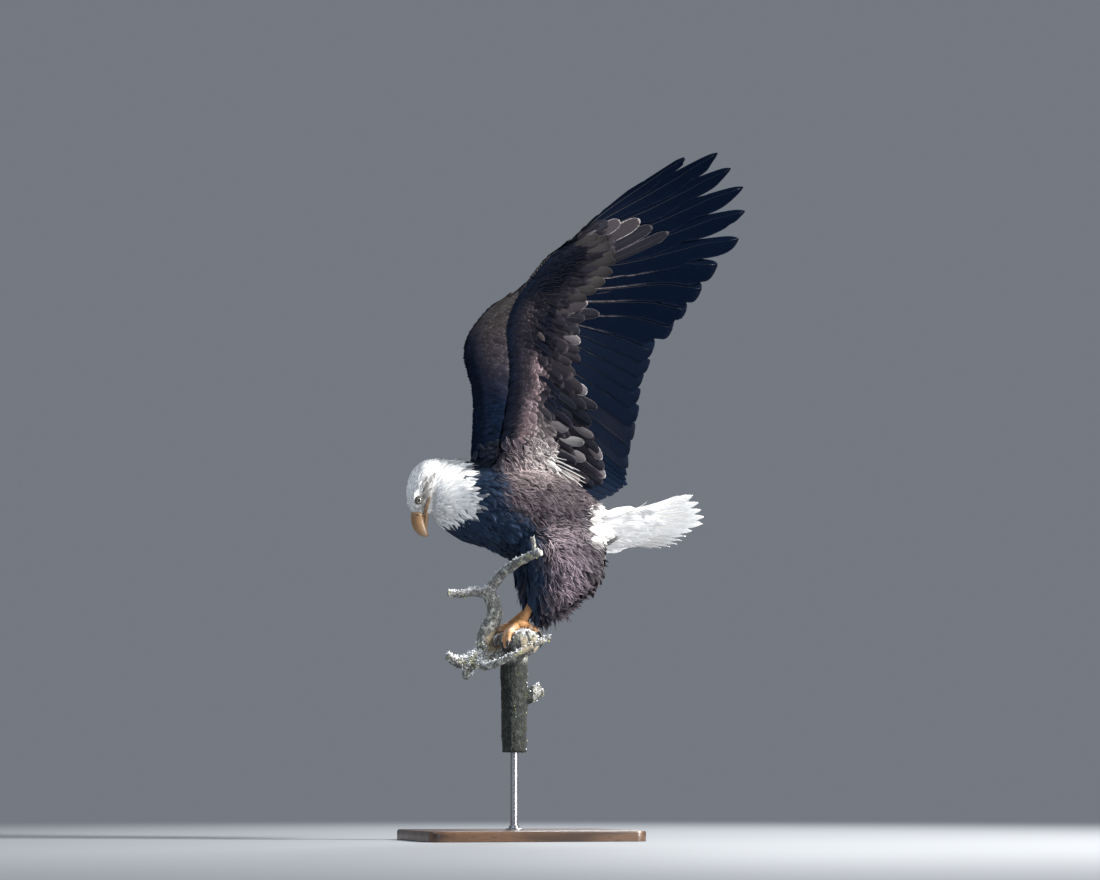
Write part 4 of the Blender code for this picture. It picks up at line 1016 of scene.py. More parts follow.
@dataclass
class Wing:
    """One raised wing: the surface all its feathers are laid on, its skin, quills and coverts.

    A place on it is a feather number q, -0.5 at the inner end to 25.5 at the outer, and a chord
    fraction v, 0 at the leading edge to 1 at the tips. In the plane of the wing, a runs backward
    and b along the raised span.
    """
    side: Side
    shoulder: tuple = (0.075, -0.038, 0.864)
    lean: float = math.radians(26.0)
    wrist: tuple = (-0.014, 0.374)
    leading: tuple = ((-0.038, -0.03), (-0.03, 0.1), (-0.03, 0.215), (-0.048, 0.32),
                      (-0.028, 0.4), (0.028, 0.487), (0.092, 0.535))
    reach: tuple = (0.358, 0.383, 0.422, 0.462, 0.535, 0.56, 0.568, 0.565, 0.55, 0.477)
    angle: tuple = (-6.0, 6.0, 3.2)
    trail: tuple = ((0.303, 0.3), (0.286, 0.16), (0.28, 0.000), (0.272, -0.052), (0.214, -0.088))
    secondaries: int = 16
    primaries: int = 10
    vane: float = 0.0022
    depth: tuple = (0.05, 0.024, 0.01)
    coat: float = 0.0035
    camber: float = 0.03              # arch of the sheet across the chord, toward the upper face
    flare: float = 0.012              # bend of the outer tips toward the upper face
    bow: float = 0.004                # curve of the outer feathers in the wing's plane, share of length
    roll: tuple = (0.0016, 0.0016, 0.002, 0.0024)       # offset of a quill's rims, the inner one downward
    whole: float = 0.955              # share of the points of a quill's rims that have no nick
    # notch outside each feather, from the last secondary on: feather numbers beyond it, chord fraction
    notches: tuple = ((0.48, 0.935), (0.45, 0.962), (0.35, 0.955), (0.28, 0.938), (0.2, 0.885),
                      (-0.06, 0.77), (0.0, 0.78), (0.0, 0.74), (0.1, 0.8), (0.1, 0.72))

    @property
    def fold(self) -> float:
        """Extra closing of the hand, in degrees."""
        return 0.0 if self.side is Side.LEFT else -5.0

    @property
    def forward(self) -> float:
        """How far the rim near the shoulder is set forward."""
        return 0.0 if self.side is Side.LEFT else 0.024

    def front(self, q: Array) -> Array:
        """Leading edge in the wing's plane: a curve with an even share for the arm and the hand."""
        wrist = 4.0 / (len(self.leading) - 1)
        inner = (q + 0.5) / self.secondaries
        outer = (q + 0.5 - self.secondaries) / self.primaries
        t = np.where(inner <= 1.0, inner * wrist, wrist + (1 - wrist) * outer)
        return along(self.leading, np.clip(t, 0.0, 1.0))

    def back(self, q: Array) -> Array:
        """Line of the tips: a curve for the secondaries, a fan about the wrist for the primaries."""
        inner = np.clip(1.0 - (q + 0.5) / self.secondaries, 0.0, 1.0)
        sec = along(self.trail, inner ** 0.95)
        number = q - self.secondaries
        reach = np.interp(number, np.arange(self.primaries), self.reach)
        fan = np.minimum(number, self.primaries - 0.85)
        ang = np.radians(self.angle[0] + self.angle[1] * fan
                         + self.angle[2] * np.sin(math.pi * np.clip(fan / 9.0, 0.0, 1.0)))
        pri = np.stack([self.wrist[0] + reach * np.cos(ang), self.wrist[1] + reach * np.sin(ang)], -1)
        return blend(sec, pri, np.clip(q - (self.secondaries - 1), 0.0, 1.0))

    def point(self, q: Array, v: Array) -> Array:
        """Middle sheet: straight from edge to tip, bowed a little, arched across the chord."""
        q, v = np.broadcast_arrays(np.asarray(q, float), np.asarray(v, float))
        lead, tip = self.front(q), self.back(q)
        lead = lead - self.forward * (1 - smoothstep(lead[..., 1:2] / 0.34)) * np.array([1.0, 0.0])
        away = tip - lead
        outer = np.clip((q - self.secondaries + 1) / self.primaries, 0.0, 1.0)
        bow = self.bow * outer * np.sin(math.pi * np.clip(v, 0, 1))
        flat = lead + away * v[..., None] + np.stack([-away[..., 1], away[..., 0]], -1) * bow[..., None]
        turn = np.radians(self.fold) * smoothstep((q - self.secondaries + 4) / 6.0)
        rel = flat - np.array(self.wrist)
        c, s = np.cos(turn), np.sin(turn)
        flat = np.stack([rel[..., 0] * c - rel[..., 1] * s, rel[..., 0] * s + rel[..., 1] * c], -1)
        flat = flat + np.array(self.wrist)
        rise = -self.camber * np.sin(math.pi * np.clip(v, 0, 1) ** 0.8) - self.flare * outer * v ** 2
        span = np.array([math.sin(self.lean), 0.0, math.cos(self.lean)])
        under = np.array([math.cos(self.lean), 0.0, -math.sin(self.lean)])
        p = (np.array(self.shoulder) + flat[..., 0:1] * np.array([0.0, 1.0, 0.0])
             + flat[..., 1:2] * span + rise[..., None] * under)
        return p * np.array([self.side.value, 1.0, 1.0])

    def normal(self, q: Array, v: Array) -> Array:
        """Unit normal of the middle sheet toward the underside, from central differences."""
        v = np.clip(v, 0.012, 1.0)
        across = self.point(q + 0.15, v) - self.point(q - 0.15, v)
        down = self.point(q, v + 0.008) - self.point(q, v - 0.008)
        n = unit(np.cross(across, down))
        return n * np.sign(n @ np.array([self.side.value, 0.0, -0.4]))[..., None]

    def half(self, q: Array, v: Array) -> Array:
        """Half thickness: deepest a fifth of the way back, a thin sheet behind the arm."""
        depth = np.interp(q, [-0.5, 16.0, 25.5], self.depth)
        shape = np.interp(v, [0.0, 0.02, 0.08, 0.2, 0.34, 0.52, 1.0],
                          [0.1, 0.42, 0.86, 1.0, 0.62, 0.16, 0.0])
        return np.maximum(depth * shape / 2, self.vane / 2)

    def surface(self, q: Array, v: Array, height: Array, face: Face) -> Array:
        """Point this high over the coat's surface on one face."""
        lift = (self.half(q, v) + height)[..., None] * face.value
        return self.point(q, v) + self.normal(q, v) * lift

    def colours(self, q: Array, v: Array, face: Face) -> tuple[Array, Array]:
        """Tint and fringe of the plumage: the marks, with their painted light and painted shade, laid over
        each other in turn.
        """
        ground, *marks = UNDER_MARKS_LIGHT_AND_SHADE if face is Face.UNDER else OVER_MARKS_LIGHT_AND_SHADE
        tint, fringe = ground.tint, ground.fringe
        for mark in marks:
            w = np.clip(fall(q, mark.q, mark.dq) * fall(v, mark.v, mark.dv) * 1.25, 0.0, 1.0)
            tint, fringe = blend(tint, mark.tint, w), blend(fringe, mark.fringe, w)
        return tint, fringe

    def chart(self, q: Array, v: Array) -> Array:
        """Unwrap of one face of the wing: across by feather number, up by chord fraction."""
        return np.stack([(q + 0.8) / 26.6, 0.02 + 0.96 * np.clip(v, 0.0, 1.0)], -1)

    def flesh(self, piece: Piece) -> None:
        """Add arm and hand, thinner than the solid by the coat's depth, to the skin."""
        q = np.linspace(-0.5, 22.5, 60)
        v = np.concatenate([np.linspace(0.02, 0.44, 12), np.linspace(0.44, 0.02, 12)])
        face = np.where(np.arange(24) < 12, 1.0, -1.0)
        qq, vv = np.meshgrid(q, v, indexing="ij")
        vv = vv * np.where(qq > 15.5, np.interp(qq, [15.5, 22.5], [0.75, 0.5]), 1.0)
        half = np.maximum(self.half(qq, vv) - self.coat, 0.0009)
        rings = self.point(qq, vv) + self.normal(qq, vv) * (half * face[None])[..., None]
        piece.tube(rings)

    def quills(self, material: Material) -> Object:
        """The 26 flight feathers: each a thin arched sheet between two curves of feather number.

        A point at x across (-1 inner to 1 outer rim) and s along lies at feather number
        i + x * width(s); each feather is rolled so that it overlaps its inner neighbour from below.
        """
        rng = np.random.default_rng(7)
        total = self.secondaries + self.primaries
        s = np.concatenate([np.linspace(0.0, 0.6, 12), np.linspace(0.635, 0.95, 15),
                            (0.962, 0.973, 0.982, 0.989, 0.9945, 0.998, 1.0)])
        columns = 9
        x = np.linspace(-1.0, 1.0, columns)
        i = np.arange(total)
        start = np.where(i < self.secondaries, 0.16, 0.07)
        end = np.where(i == total - 1, 0.965, 1.0)
        v = start[:, None] + (end - start)[:, None] * s[None]
        plain = np.tile((0.49, 0.982), (self.secondaries - 1, 1))
        gaps = np.vstack([plain[:1], plain, self.notches, (0.5, 0.45)])
        tip = np.where(i == total - 1, -0.2, np.where(i == 19, 0.1, 0.0))
        along_it = v / end[:, None]
        shaft = self.course(i[:, None], v)
        outer = self.finger(along_it, gaps[1:, 1], gaps[1:, 0] - tip, False) + tip[:, None]
        inner = self.finger(along_it, gaps[:-1, 1], 1.0 - gaps[:-1, 0] + tip, True) - tip[:, None]
        before = [smoothstep((gap - along_it) / (0.012 + 0.14 * smoothstep((0.93 - gap) / 0.08)))
                  for gap in (gaps[1:, 1:], gaps[:-1, 1:])]
        outer[-1] = np.interp(v[-1], (0.4, 0.5, 0.6, 0.72, 0.93, 0.965),
                              (0.4, 0.26, 0.1, 0.0, -0.06, -0.22))
        outer = (i[:, None] + outer - shaft) * (1 - before[0]) + 0.5 * before[0]
        inner = (shaft - i[:, None] + inner) * (1 - before[1]) + 0.92 * before[1]
        wide = np.maximum(np.where(x[None, None] < 0, inner[..., None], outer[..., None]), 0.012)
        nick = rng.uniform(0, 1, v.shape + (2,)) > self.whole
        wide[:, :, 0] *= np.where(nick[..., 0], 0.9, 1.0)
        wide[:, :, -1] *= np.where(nick[..., 1], 0.93, 1.0)
        q = shaft[..., None] + x[None, None] * wide
        vv = np.repeat(v[..., None], columns, 2)
        vv = vv + rng.normal(0, 0.006, (total, 1, 1)) * s[None, :, None] ** 2
        reach = np.linalg.norm(self.back(q) - self.front(q), axis=-1)
        square = reach[:, -1:, columns // 2:columns // 2 + 1] / reach
        vv = np.minimum(vv * (1 + (square - 1) * smoothstep((v - 0.86) / 0.14)[..., None]), 1.02)
        mid, nor = self.point(q, vv), self.normal(q, np.minimum(vv, 1.0))
        roll = np.interp(i, (0, 15, 16, 25), self.roll)
        height = -x[None, None] * roll[:, None, None] + 0.0008 * (1 - x[None, None] ** 2)
        height = height * smoothstep(s / 0.3)[None, :, None]
        sheet = mid + nor * height[..., None]
        sign = np.einsum("ijkl,ijkl->ijk", np.cross(sheet[:, :-1, 1:] - sheet[:, :-1, :-1],
                                                    sheet[:, 1:, :-1] - sheet[:, :-1, :-1]),
                         nor[:, :-1, :-1]).mean()
        base, rim = self.quill_colours(i, v)
        if sign < 0:
            sheet, nor = sheet[:, :, ::-1], nor[:, :, ::-1]
        vane = Vane(tuple(s), (1.0,) * len(s), columns, 0.0, 0.0006)
        piece = Piece()
        vane.close(piece, sheet, -nor, x, np.zeros((total, 2)), base, rim)
        piece.strips(total, len(s), columns)
        nodes = tuple(f"wing_{self.side.label}_{part}" for part in ("secondaries", "primaries"))
        obj = piece.object(f"quills_{self.side.label}")
        return finish_piece(obj, material, nodes, crease=40.0)

    @staticmethod
    def finger(v: Array, start: Array, off: Array, inner: bool) -> Array:
        """Distance of one rim from a feather's tip line past its notch: a leaf's rim, or a blunt one.

        Args:
            v: Chord fractions, a row to each feather.
            start: Chord fraction of each feather's notch.
            off: Distance there.
            inner: True for the rounder rim on the body's side.

        Returns:
            Distances in feather numbers.
        """
        t = np.clip((v - start[:, None]) / (1 - start[:, None]), 0.0, 1.0)
        deep = smoothstep((0.93 - start) / 0.08)[:, None]
        off = off[:, None]
        leaf = (off - 0.13) * (1 - t ** 1.45) ** 0.72 + 0.13 if inner else off * (1 - t) - 0.13 * t ** 7
        blunt = off * (1 - t ** 3.0) ** 0.45
        return blunt * (1 - deep) + leaf * deep

    def course(self, i: Array, v: Array) -> Array:
        """Feather number that a flight feather's shaft runs over: primaries start further in."""
        bend = np.interp(i, (14, 15, 16, 17, 21, 22, 23, 24, 25),
                         (0, 0.3, 0.6, 1, 1, 0.85, 0.6, 0.3, 0.12))
        inset = np.interp(i, (19, 20, 24, 25), (0.0, 0.34, 0.34, 0.3)) * np.clip((1.0 - v) / 0.25, 0.0, 1.0)
        end = np.interp(i, (19, 20, 24, 25), (0.0, 0.13, 0.13, 0.33)) * smoothstep((v - 0.8) / 0.2)
        return i - bend * smoothstep((0.84 - v) / 0.55) * 1.1 - inset * smoothstep((v - 0.1) / 0.5) - end

    def quill_colours(self, i: Array, v: Array) -> tuple[Array, Array]:
        """Colour of each row of each quill: greyer near the coverts, blue-black toward the tip, the blue
        being painted shade over their dark brown.
        """
        hand = smoothstep((i - 14.5) / 2.0)[:, None]
        near = (1 - smoothstep((v - 0.34) / 0.4)) * (0.4 - 0.25 * hand)
        inner = (1 - smoothstep((i - 1.0) / 4.0))[:, None]
        bar = np.interp(i, (7, 8, 9, 10, 11), (0.0, 0.5, 0.2, 0.6, 0.0))[:, None] * fall(v, 0.82, 0.16)
        grey = 0.1 * near + 0.1 * inner + 0.3 * bar
        # painted shade: the blue cast of these blacks stands for the shade over the dark brown quills
        deep = blend((0.0068, 0.0146, 0.032), (0.005, 0.01, 0.022), smoothstep((i - 4.0) / 8.0))
        deep = blend(deep, (0.0014, 0.0042, 0.012), hand[:, 0])
        tint = blend(deep[:, None], (0.046, 0.04, 0.044), grey)
        line = smoothstep((0.74 - v) / 0.32)
        lit = hand * (1 - smoothstep((i - 20.1) / 0.8)[:, None])
        rim = blend((0.006, 0.0085, 0.018), (0.24, 0.21, 0.21),
                    np.clip(line * lit * 0.9 + 0.14 * near + 0.1 * inner + 0.25 * bar, 0, 1))
        return tint, rim

    def shafts(self, material: Material) -> Object:
        """The ridged shaft of each quill, tapering from root to tip, standing out on both faces."""
        piece = Piece()
        for i in range(self.secondaries + self.primaries):
            s = np.linspace(0.0, 0.985, 26)
            start = 0.1 if i < self.secondaries else 0.04
            v = start + (1 - start) * s
            q = self.course(float(i), v)
            path = self.point(q, v) + self.normal(q, v) * (0.0007 * smoothstep(s / 0.3))[:, None]
            size = (0.0018 if i >= self.secondaries else 0.0012) * (1 - 0.86 * s)
            near = 1 - smoothstep((v - 0.35) / 0.45)
            # painted shade: the blue cast of the shafts, as on the quills
            tint = blend((0.003, 0.005, 0.012), (0.01, 0.011, 0.018), near)
            rings = sweep(path, size, 6, size * 0.8, up=(self.side.value, 0.0, -0.4))
            piece.tube(rings, tint)
        return finish_piece(piece.object(f"shafts_{self.side.label}"), material)

    def coverts(self, face: Face, material: Material) -> Object:
        """All coverts of one face, row by row from the quills to the leading edge.

        A covert's shaft runs from its root to its tip in feather number and chord fraction while
        its height over the surface rises, so that each row's tips lie over the next row's roots.
        """
        rng = np.random.default_rng(11 if face is Face.UNDER else 12)
        piece = Piece()
        for row in (UNDER_ROWS if face is Face.UNDER else OVER_ROWS) + lesser_rows():
            vane = KINDS[row.kind]
            q0 = np.arange(row.first, row.last, row.step)
            q0 = q0 + rng.normal(0, 0.1 * row.step * row.uneven * 8, len(q0))
            v0 = np.interp(q0, row.knots, row.root) + rng.normal(0, 0.05 * row.uneven, len(q0))
            v1 = np.interp(q0, row.knots, row.tip)
            v1 = v1 + (v1 - v0) * rng.normal(0, row.uneven * 0.8, len(q0))
            s = np.asarray(vane.stations)
            lean = row.lean + rng.normal(0, row.uneven * 1.6, len(q0))
            q = q0[:, None] + lean[:, None] * s
            v = v0[:, None] + (v1 - v0)[:, None] * s
            stand = rng.gamma(2.0, 0.5, len(q0))[:, None]
            height = row.base + row.lift * (0.75 + 0.25 * stand) * s ** 0.8
            path = self.surface(q, v, height, face)
            normal = self.normal(q, v) * face.value
            mid = len(s) // 2
            gap = np.linalg.norm(self.point(q0 + row.step / 2, v[:, mid])
                                 - self.point(q0 - row.step / 2, v[:, mid]), axis=-1)
            half = gap * row.spread * rng.uniform(0.9, 1.12, len(q0))
            tint, fringe = self.colours(q[:, -2], v[:, -2], face)
            root = self.chart(q0, v0 + rng.uniform(-0.01, 0.01, len(q0)))
            tint = wear(tint, rng, 0.16)
            # painted shade: each covert darkens toward its root, under the row that overlaps it
            shaded_root = np.linspace(0.62, 1.0, len(s))[None, :, None]
            vane.lay(piece, path, normal, half, root, tint[:, None] * shaded_root,
                     np.repeat(wear(fringe, rng, 0.2)[:, None], len(s), 1), rng, 0.1)
        nodes = (f"wing_{self.side.label}_hand",) if face is Face.UNDER else ()
        name = f"coverts_{self.side.label}_{face.name.lower()}"
        return finish_piece(piece.object(name), material, nodes, crease=50.0)

    def lobes(self, material: Material) -> Object:
        """The large coverts and axillary feathers of the underside, each in its own place and dress."""
        rng = np.random.default_rng(13)
        vane = KINDS["lobe"]
        s = np.asarray(vane.stations)
        rows = np.array([row[:5] for row in LOBES])
        dress = np.array([DRESS[row[5]] for row in LOBES])
        bend = rng.normal(0, 0.4, (len(rows), 1))
        q = rows[:, 0:1] + (rows[:, 2:3] - rows[:, 0:1]) * s + 0.25 * np.sin(math.pi * s) * bend
        v = rows[:, 1:2] + (rows[:, 3:4] - rows[:, 1:2]) * s
        order = np.linspace(0.0, 1.0, len(rows))[:, None] % 0.25
        white = np.array([row[5] == "white" for row in LOBES])[:, None]
        height = -0.002 + (0.0065 + 0.006 * order + 0.0065 * white) * s ** 0.8
        path = self.surface(q, v, height, Face.UNDER)
        piece = Piece()
        soft = np.array([row[5] in ("grey", "pale", "ash") for row in LOBES])[:, None]
        shade = np.where(soft, np.interp(s, (0, 0.5, 0.8, 1), (0.5, 1.0, 0.85, 0.3)),
                         np.interp(s, (0, 0.4, 1), (0.42, 0.8, 1.0)))[..., None]
        vane.lay(piece, path, self.normal(q, v), rows[:, 4] * 0.92, self.chart(rows[:, 0], rows[:, 1]),
                 wear(dress[:, 0], rng, 0.06)[:, None] * shade,
                 np.repeat(wear(dress[:, 1], rng, 0.06)[:, None], len(s), 1), rng, 0.14)
        return finish_piece(piece.object(f"lobes_{self.side.label}"), material, crease=50.0)


# ------------------------------------------------------------------ body
@dataclass(frozen=True)
class HeadFrame:
    """Axes of the head: origin between the eyes, f toward the bill, u toward the crown."""
    origin: tuple = (0.0, -0.247, 0.775)
    pitch: float = math.radians(87.0)

    @property
    def f(self) -> Array:
        """Unit vector toward the bill."""
        return np.array([0.0, -math.cos(self.pitch), -math.sin(self.pitch)])

    @property
    def u(self) -> Array:
        """Unit vector toward the crown."""
        return np.array([0.0, -math.sin(self.pitch), math.cos(self.pitch)])

    def place(self, f: Array, u: Array, x: Array) -> Array:
        """World points from places along f, u and X."""
        f, u, x = np.broadcast_arrays(*(np.asarray(k, float) for k in (f, u, x)))
        return (np.array(self.origin) + f[..., None] * self.f + u[..., None] * self.u
                + x[..., None] * np.array([1.0, 0.0, 0.0]))

    def local(self, p: Array) -> tuple[Array, Array, Array]:
        """Places along f, u and X from world points."""
        d = p - np.array(self.origin)
        return d @ self.f, d @ self.u, d[..., 0]


HEAD = HeadFrame()
MUZZLE = np.array([0.0, -0.262, 0.752])       # the lie of the head's feathers fans out from here
HIP = np.array([0.0, 0.01, 0.712])           # and the lie of the trousers from here
GAPE_LINE = ((-0.009, -0.002, 0.006, 0.016, 0.026, 0.035),
             (-0.0246, -0.023, -0.0214, -0.02, -0.019, -0.0186))     # along and up the head


@dataclass
class Body:
    """Head, neck, trunk and feathered legs under one skin, with the plumage that grows on it."""
    trunk: tuple = (
        (-0.184, 0.784, 0.006, 0.006, 0.006), (-0.176, 0.782, 0.04, 0.046, 0.058),
        (-0.14, 0.782, 0.074, 0.084, 0.098), (-0.083, 0.776, 0.097, 0.096, 0.106),
        (-0.02, 0.768, 0.106, 0.101, 0.118), (0.05, 0.76, 0.103, 0.098, 0.114),
        (0.12, 0.748, 0.086, 0.084, 0.098), (0.175, 0.734, 0.062, 0.058, 0.068),
        (0.225, 0.726, 0.04, 0.034, 0.038), (0.252, 0.726, 0.006, 0.006, 0.006))
    neck: tuple = (
        (-0.232, 0.822, 0.01, 0.014, 0.018), (-0.22, 0.816, 0.036, 0.042, 0.056),
        (-0.2, 0.808, 0.05, 0.066, 0.086), (-0.16, 0.798, 0.062, 0.075, 0.103),
        (-0.125, 0.792, 0.07, 0.075, 0.104), (-0.105, 0.788, 0.01, 0.014, 0.018))
    head: tuple = (
        (-0.1005, 0.006, -0.03, 0.042), (-0.097, 0.026, -0.008, 0.06),
        (-0.078, 0.041, 0.012, 0.068), (-0.05, 0.0445, 0.0235, 0.062),
        (-0.022, 0.0415, 0.0262, 0.056), (0.000, 0.035, 0.0225, 0.051),
        (0.018, 0.0265, 0.016, 0.045), (0.03, 0.018, 0.011, 0.036),
        (0.034, 0.006, 0.002, 0.018))
    thigh: tuple = (
        (0.742, 0.085, 0.052, 0.02, 0.012), (0.732, 0.088, 0.054, 0.058, 0.036),
        (0.69, 0.081, 0.06, 0.102, 0.05), (0.636, 0.084, 0.06, 0.098, 0.053),
        (0.594, 0.084, 0.056, 0.087, 0.049), (0.562, 0.068, 0.051, 0.069, 0.042),
        (0.536, 0.051, 0.045, 0.049, 0.033), (0.52, 0.04, 0.04, 0.016, 0.014))
    leg_shift: float = 0.014          # forward set of the right ankle
    coat: float = 0.0075              # depth of the plumage on trunk and legs
    head_coat: float = 0.0032
    voxel: float = 0.0034             # cells of the skin's remesh
    # place back and up, reach of each, colour of middle and fringe of the body's lighter and darker patches:
    # the pinkish ones are partly painted light on the flank and trousers, and the darkest, at the rear and
    # hem of the trousers, partly painted shade
    patches: tuple = (
        (-0.028, 0.832, 0.05, 0.034, (0.07, 0.055, 0.06), (0.22, 0.175, 0.182)),
        (0.024, 0.852, 0.05, 0.03, (0.15, 0.13, 0.136), (0.42, 0.35, 0.345)),
        (0.036, 0.892, 0.048, 0.03, (0.17, 0.15, 0.152), (0.38, 0.345, 0.34)),
        (0.062, 0.79, 0.08, 0.026, (0.044, 0.036, 0.042), (0.12, 0.098, 0.105)),
        (0.1, 0.742, 0.06, 0.022, (0.022, 0.0195, 0.026), (0.056, 0.047, 0.056)),
        (0.062, 0.69, 0.036, 0.03, (0.098, 0.078, 0.09), (0.3, 0.248, 0.268)),
        (0.084, 0.616, 0.04, 0.06, (0.086, 0.067, 0.082), (0.23, 0.182, 0.214)),
        (0.16, 0.635, 0.04, 0.06, (0.036, 0.033, 0.037), (0.11, 0.098, 0.108)),
        (0.08, 0.525, 0.09, 0.022, (0.02, 0.02, 0.028), (0.06, 0.056, 0.07)))
    # place along and up the head, reach of each, strength and grey of the marks on its sides: grey lores and
    # cheeks, and behind the eye the darkest marks, painted shade under the brow
    cheeks: tuple = (
        (0.021, -0.009, 0.011, 0.013, 1.0, 0.3), (0.026, 0.005, 0.006, 0.01, 0.9, 0.32),
        (0.01, -0.014, 0.01, 0.0065, 1.0, 0.26), (-0.008, -0.015, 0.013, 0.009, 1.4, 0.15),
        (-0.024, -0.0125, 0.013, 0.009, 1.4, 0.13), (-0.037, -0.0105, 0.007, 0.006, 1.2, 0.18),
        (-0.045, -0.0245, 0.009, 0.0055, 1.3, 0.16), (-0.006, -0.028, 0.018, 0.006, 0.7, 0.34),
        (-0.04, -0.07, 0.007, 0.013, 0.35, 0.5), (0.03, -0.066, 0.016, 0.014, 0.5, 0.42),
        (0.006, -0.058, 0.024, 0.026, 0.3, 0.5))
    brow: tuple = ((0.02, 0.004, 0.017), (0.01, 0.01, 0.0262), (-0.002, 0.0118, 0.0308),
                   (-0.014, 0.009, 0.033), (-0.026, 0.004, 0.0345))

    def rings(self, rows: tuple, count: int, sides: int, inset: float) -> Array:
        """Upright egg sections along Y with separate reach above and below."""
        s = catmull(rows, count)
        s[:, 0] = s[:, 0].mean() + (s[:, 0] - s[:, 0].mean()) * (1 - inset / 0.2)
        a = turns(sides)
        reach = np.maximum(np.where(np.sin(a)[None] >= 0, s[:, 3:4], s[:, 4:5]) - inset, 0.001)
        x = np.maximum(s[:, 2:3] - inset, 0.001) * np.cos(a)[None]
        return np.stack([x, np.repeat(s[:, 0:1], sides, 1), s[:, 1:2] + reach * np.sin(a)[None]], -1)

    def head_rings(self, count: int, sides: int, inset: float) -> Array:
        """Sections across the head as rounded boxes, from the nape down to the bill."""
        s = catmull(self.head, count)
        a = turns(sides)
        high = np.maximum((s[:, 2:3] + s[:, 3:4]) / 2 - inset, 0.001)
        mid = (s[:, 2:3] - s[:, 3:4]) / 2
        x = np.maximum(s[:, 1:2] - inset, 0.001) * np.sign(np.cos(a)) * np.abs(np.cos(a)) ** 0.92
        v = mid + high * np.sign(np.sin(a)) * np.abs(np.sin(a)) ** 0.92
        return HEAD.place(s[:, 0:1] * (1 - inset / 0.06), v, x)

    def thigh_rings(self, side: Side, count: int, sides: int, inset: float) -> Array:
        """Level sections down the feathered leg."""
        s = catmull(self.thigh, count)
        top, low = self.thigh[0][0], self.thigh[-1][0]
        shift = (self.leg_shift if side is Side.RIGHT else 0.0) * (top - s[:, 0]) / (top - low)
        a = turns(sides)
        x = side.value * (s[:, 2:3] + np.maximum(s[:, 4:5] - inset, 0.001) * np.cos(a)[None])
        y = (s[:, 1] + shift)[:, None] + np.maximum(s[:, 3:4] - inset, 0.001) * np.sin(a)[None]
        z = np.repeat(low + inset + (s[:, 0:1] - low) * (1 - inset / (top - low)), sides, 1)
        return np.stack([x, y, z], -1)

    def skin(self, wings: list, material: Material) -> Object:
        """One skin round all the flesh, inside the solids by the coat's depth."""
        piece = Piece()
        piece.tube(self.rings(self.trunk, 40, 64, self.coat))
        piece.tube(self.rings(self.neck, 28, 48, self.coat * 0.8))
        piece.tube(self.head_rings(40, 48, self.head_coat))
        for side in Side:
            piece.tube(self.thigh_rings(side, 36, 40, self.coat))
            path = HEAD.place(*(np.array(self.brow) * (1, 1, side.value)).T)
            bulge = np.sin(np.linspace(0.35, 2.8, 16))
            piece.tube(sweep(catmull(path, 16), 0.0042 * bulge, 10, 0.0048 * bulge, up=(0.0, -1.0, 0.2)))
        for wing in wings:
            wing.flesh(piece)
        skin = remeshed(piece, "skin", self.voxel, 3)
        points, _ = mesh_points(skin)
        tint, _ = self.colours(points)
        wing_tint = np.array((0.03, 0.024, 0.027))
        outer = np.maximum.reduce([self.out_on_wing(points, w) for w in wings])
        # painted shade: the skin seen between the feathers is a quarter darker than the plumage over it
        paint(skin, "tint", blend(tint * 0.75, wing_tint, smoothstep(outer / 0.03)))
        sides = [s.label for s in Side]
        return finish_piece(skin, material,
                            ("head", "neck", "trunk", *(f"thigh_{s}" for s in sides),
                             *(f"wing_{s}_arm" for s in sides)))

    @staticmethod
    def out_on_wing(p: Array, wing: Wing) -> Array:
        """How far out along the wing's span a point lies, beyond where the wing's own rows begin."""
        q = p * np.array([wing.side.value, 1.0, 1.0]) - np.array(wing.shoulder)
        return q @ np.array([math.sin(wing.lean), 0.0, math.cos(wing.lean)]) - 0.03

    @staticmethod
    def whiteness(p: Array) -> Array:
        """1 on the white head and neck, 0 behind the collar, with an uneven border."""
        edge = np.interp(p[..., 2], (0.7, 0.715, 0.725, 0.735, 0.745, 0.76, 0.787, 0.8, 0.83, 0.87),
                         (-0.222, -0.2, -0.182, -0.16, -0.145, -0.137, -0.134, -0.142, -0.151, -0.16))
        edge = edge + 0.01 * noise(p, 0.022, 5)
        return smoothstep((edge - p[..., 1]) / 0.01 + 0.5)

    def colours(self, p: Array) -> tuple[Array, Array]:
        """Tint and fringe by place: white head with grey cheeks and lores and painted shade under the brow,
        brown body with painted blue-black shade on its front and on the inner wing bases, pale vent.
        """
        white = self.whiteness(p)
        f, u, x = HEAD.local(p)
        cloud = noise(p, 0.045, 1)[..., None]
        fine = noise(p, 0.014, 2)[..., None]
        body = np.array((0.03, 0.0245, 0.031)) * (1 + 0.35 * cloud + 0.14 * fine)
        rim = np.array((0.076, 0.06, 0.07)) * (1 + 0.4 * cloud + 0.22 * fine)
        for y, z, dy, dz, tint, fringe in self.patches:
            w = 1.2 * fall(p[..., 1], y, dy) * fall(p[..., 2], z, dz) * (1 + 0.5 * fine[..., 0])
            w = np.clip(w, 0, 1)
            body, rim = blend(body, tint, w), blend(rim, fringe, w)
        # painted shade: blue-black over the breast and the front of the body, forward of this line
        line = np.interp(p[..., 2], (0.53, 0.64, 0.7, 0.74, 0.775, 0.83, 0.9),
                         (0.03, 0.03, 0.018, -0.03, -0.072, -0.076, -0.076))
        front = 0.93 * smoothstep((line + 0.014 * noise(p, 0.03, 6) - p[..., 1]) / 0.045 + 0.5)
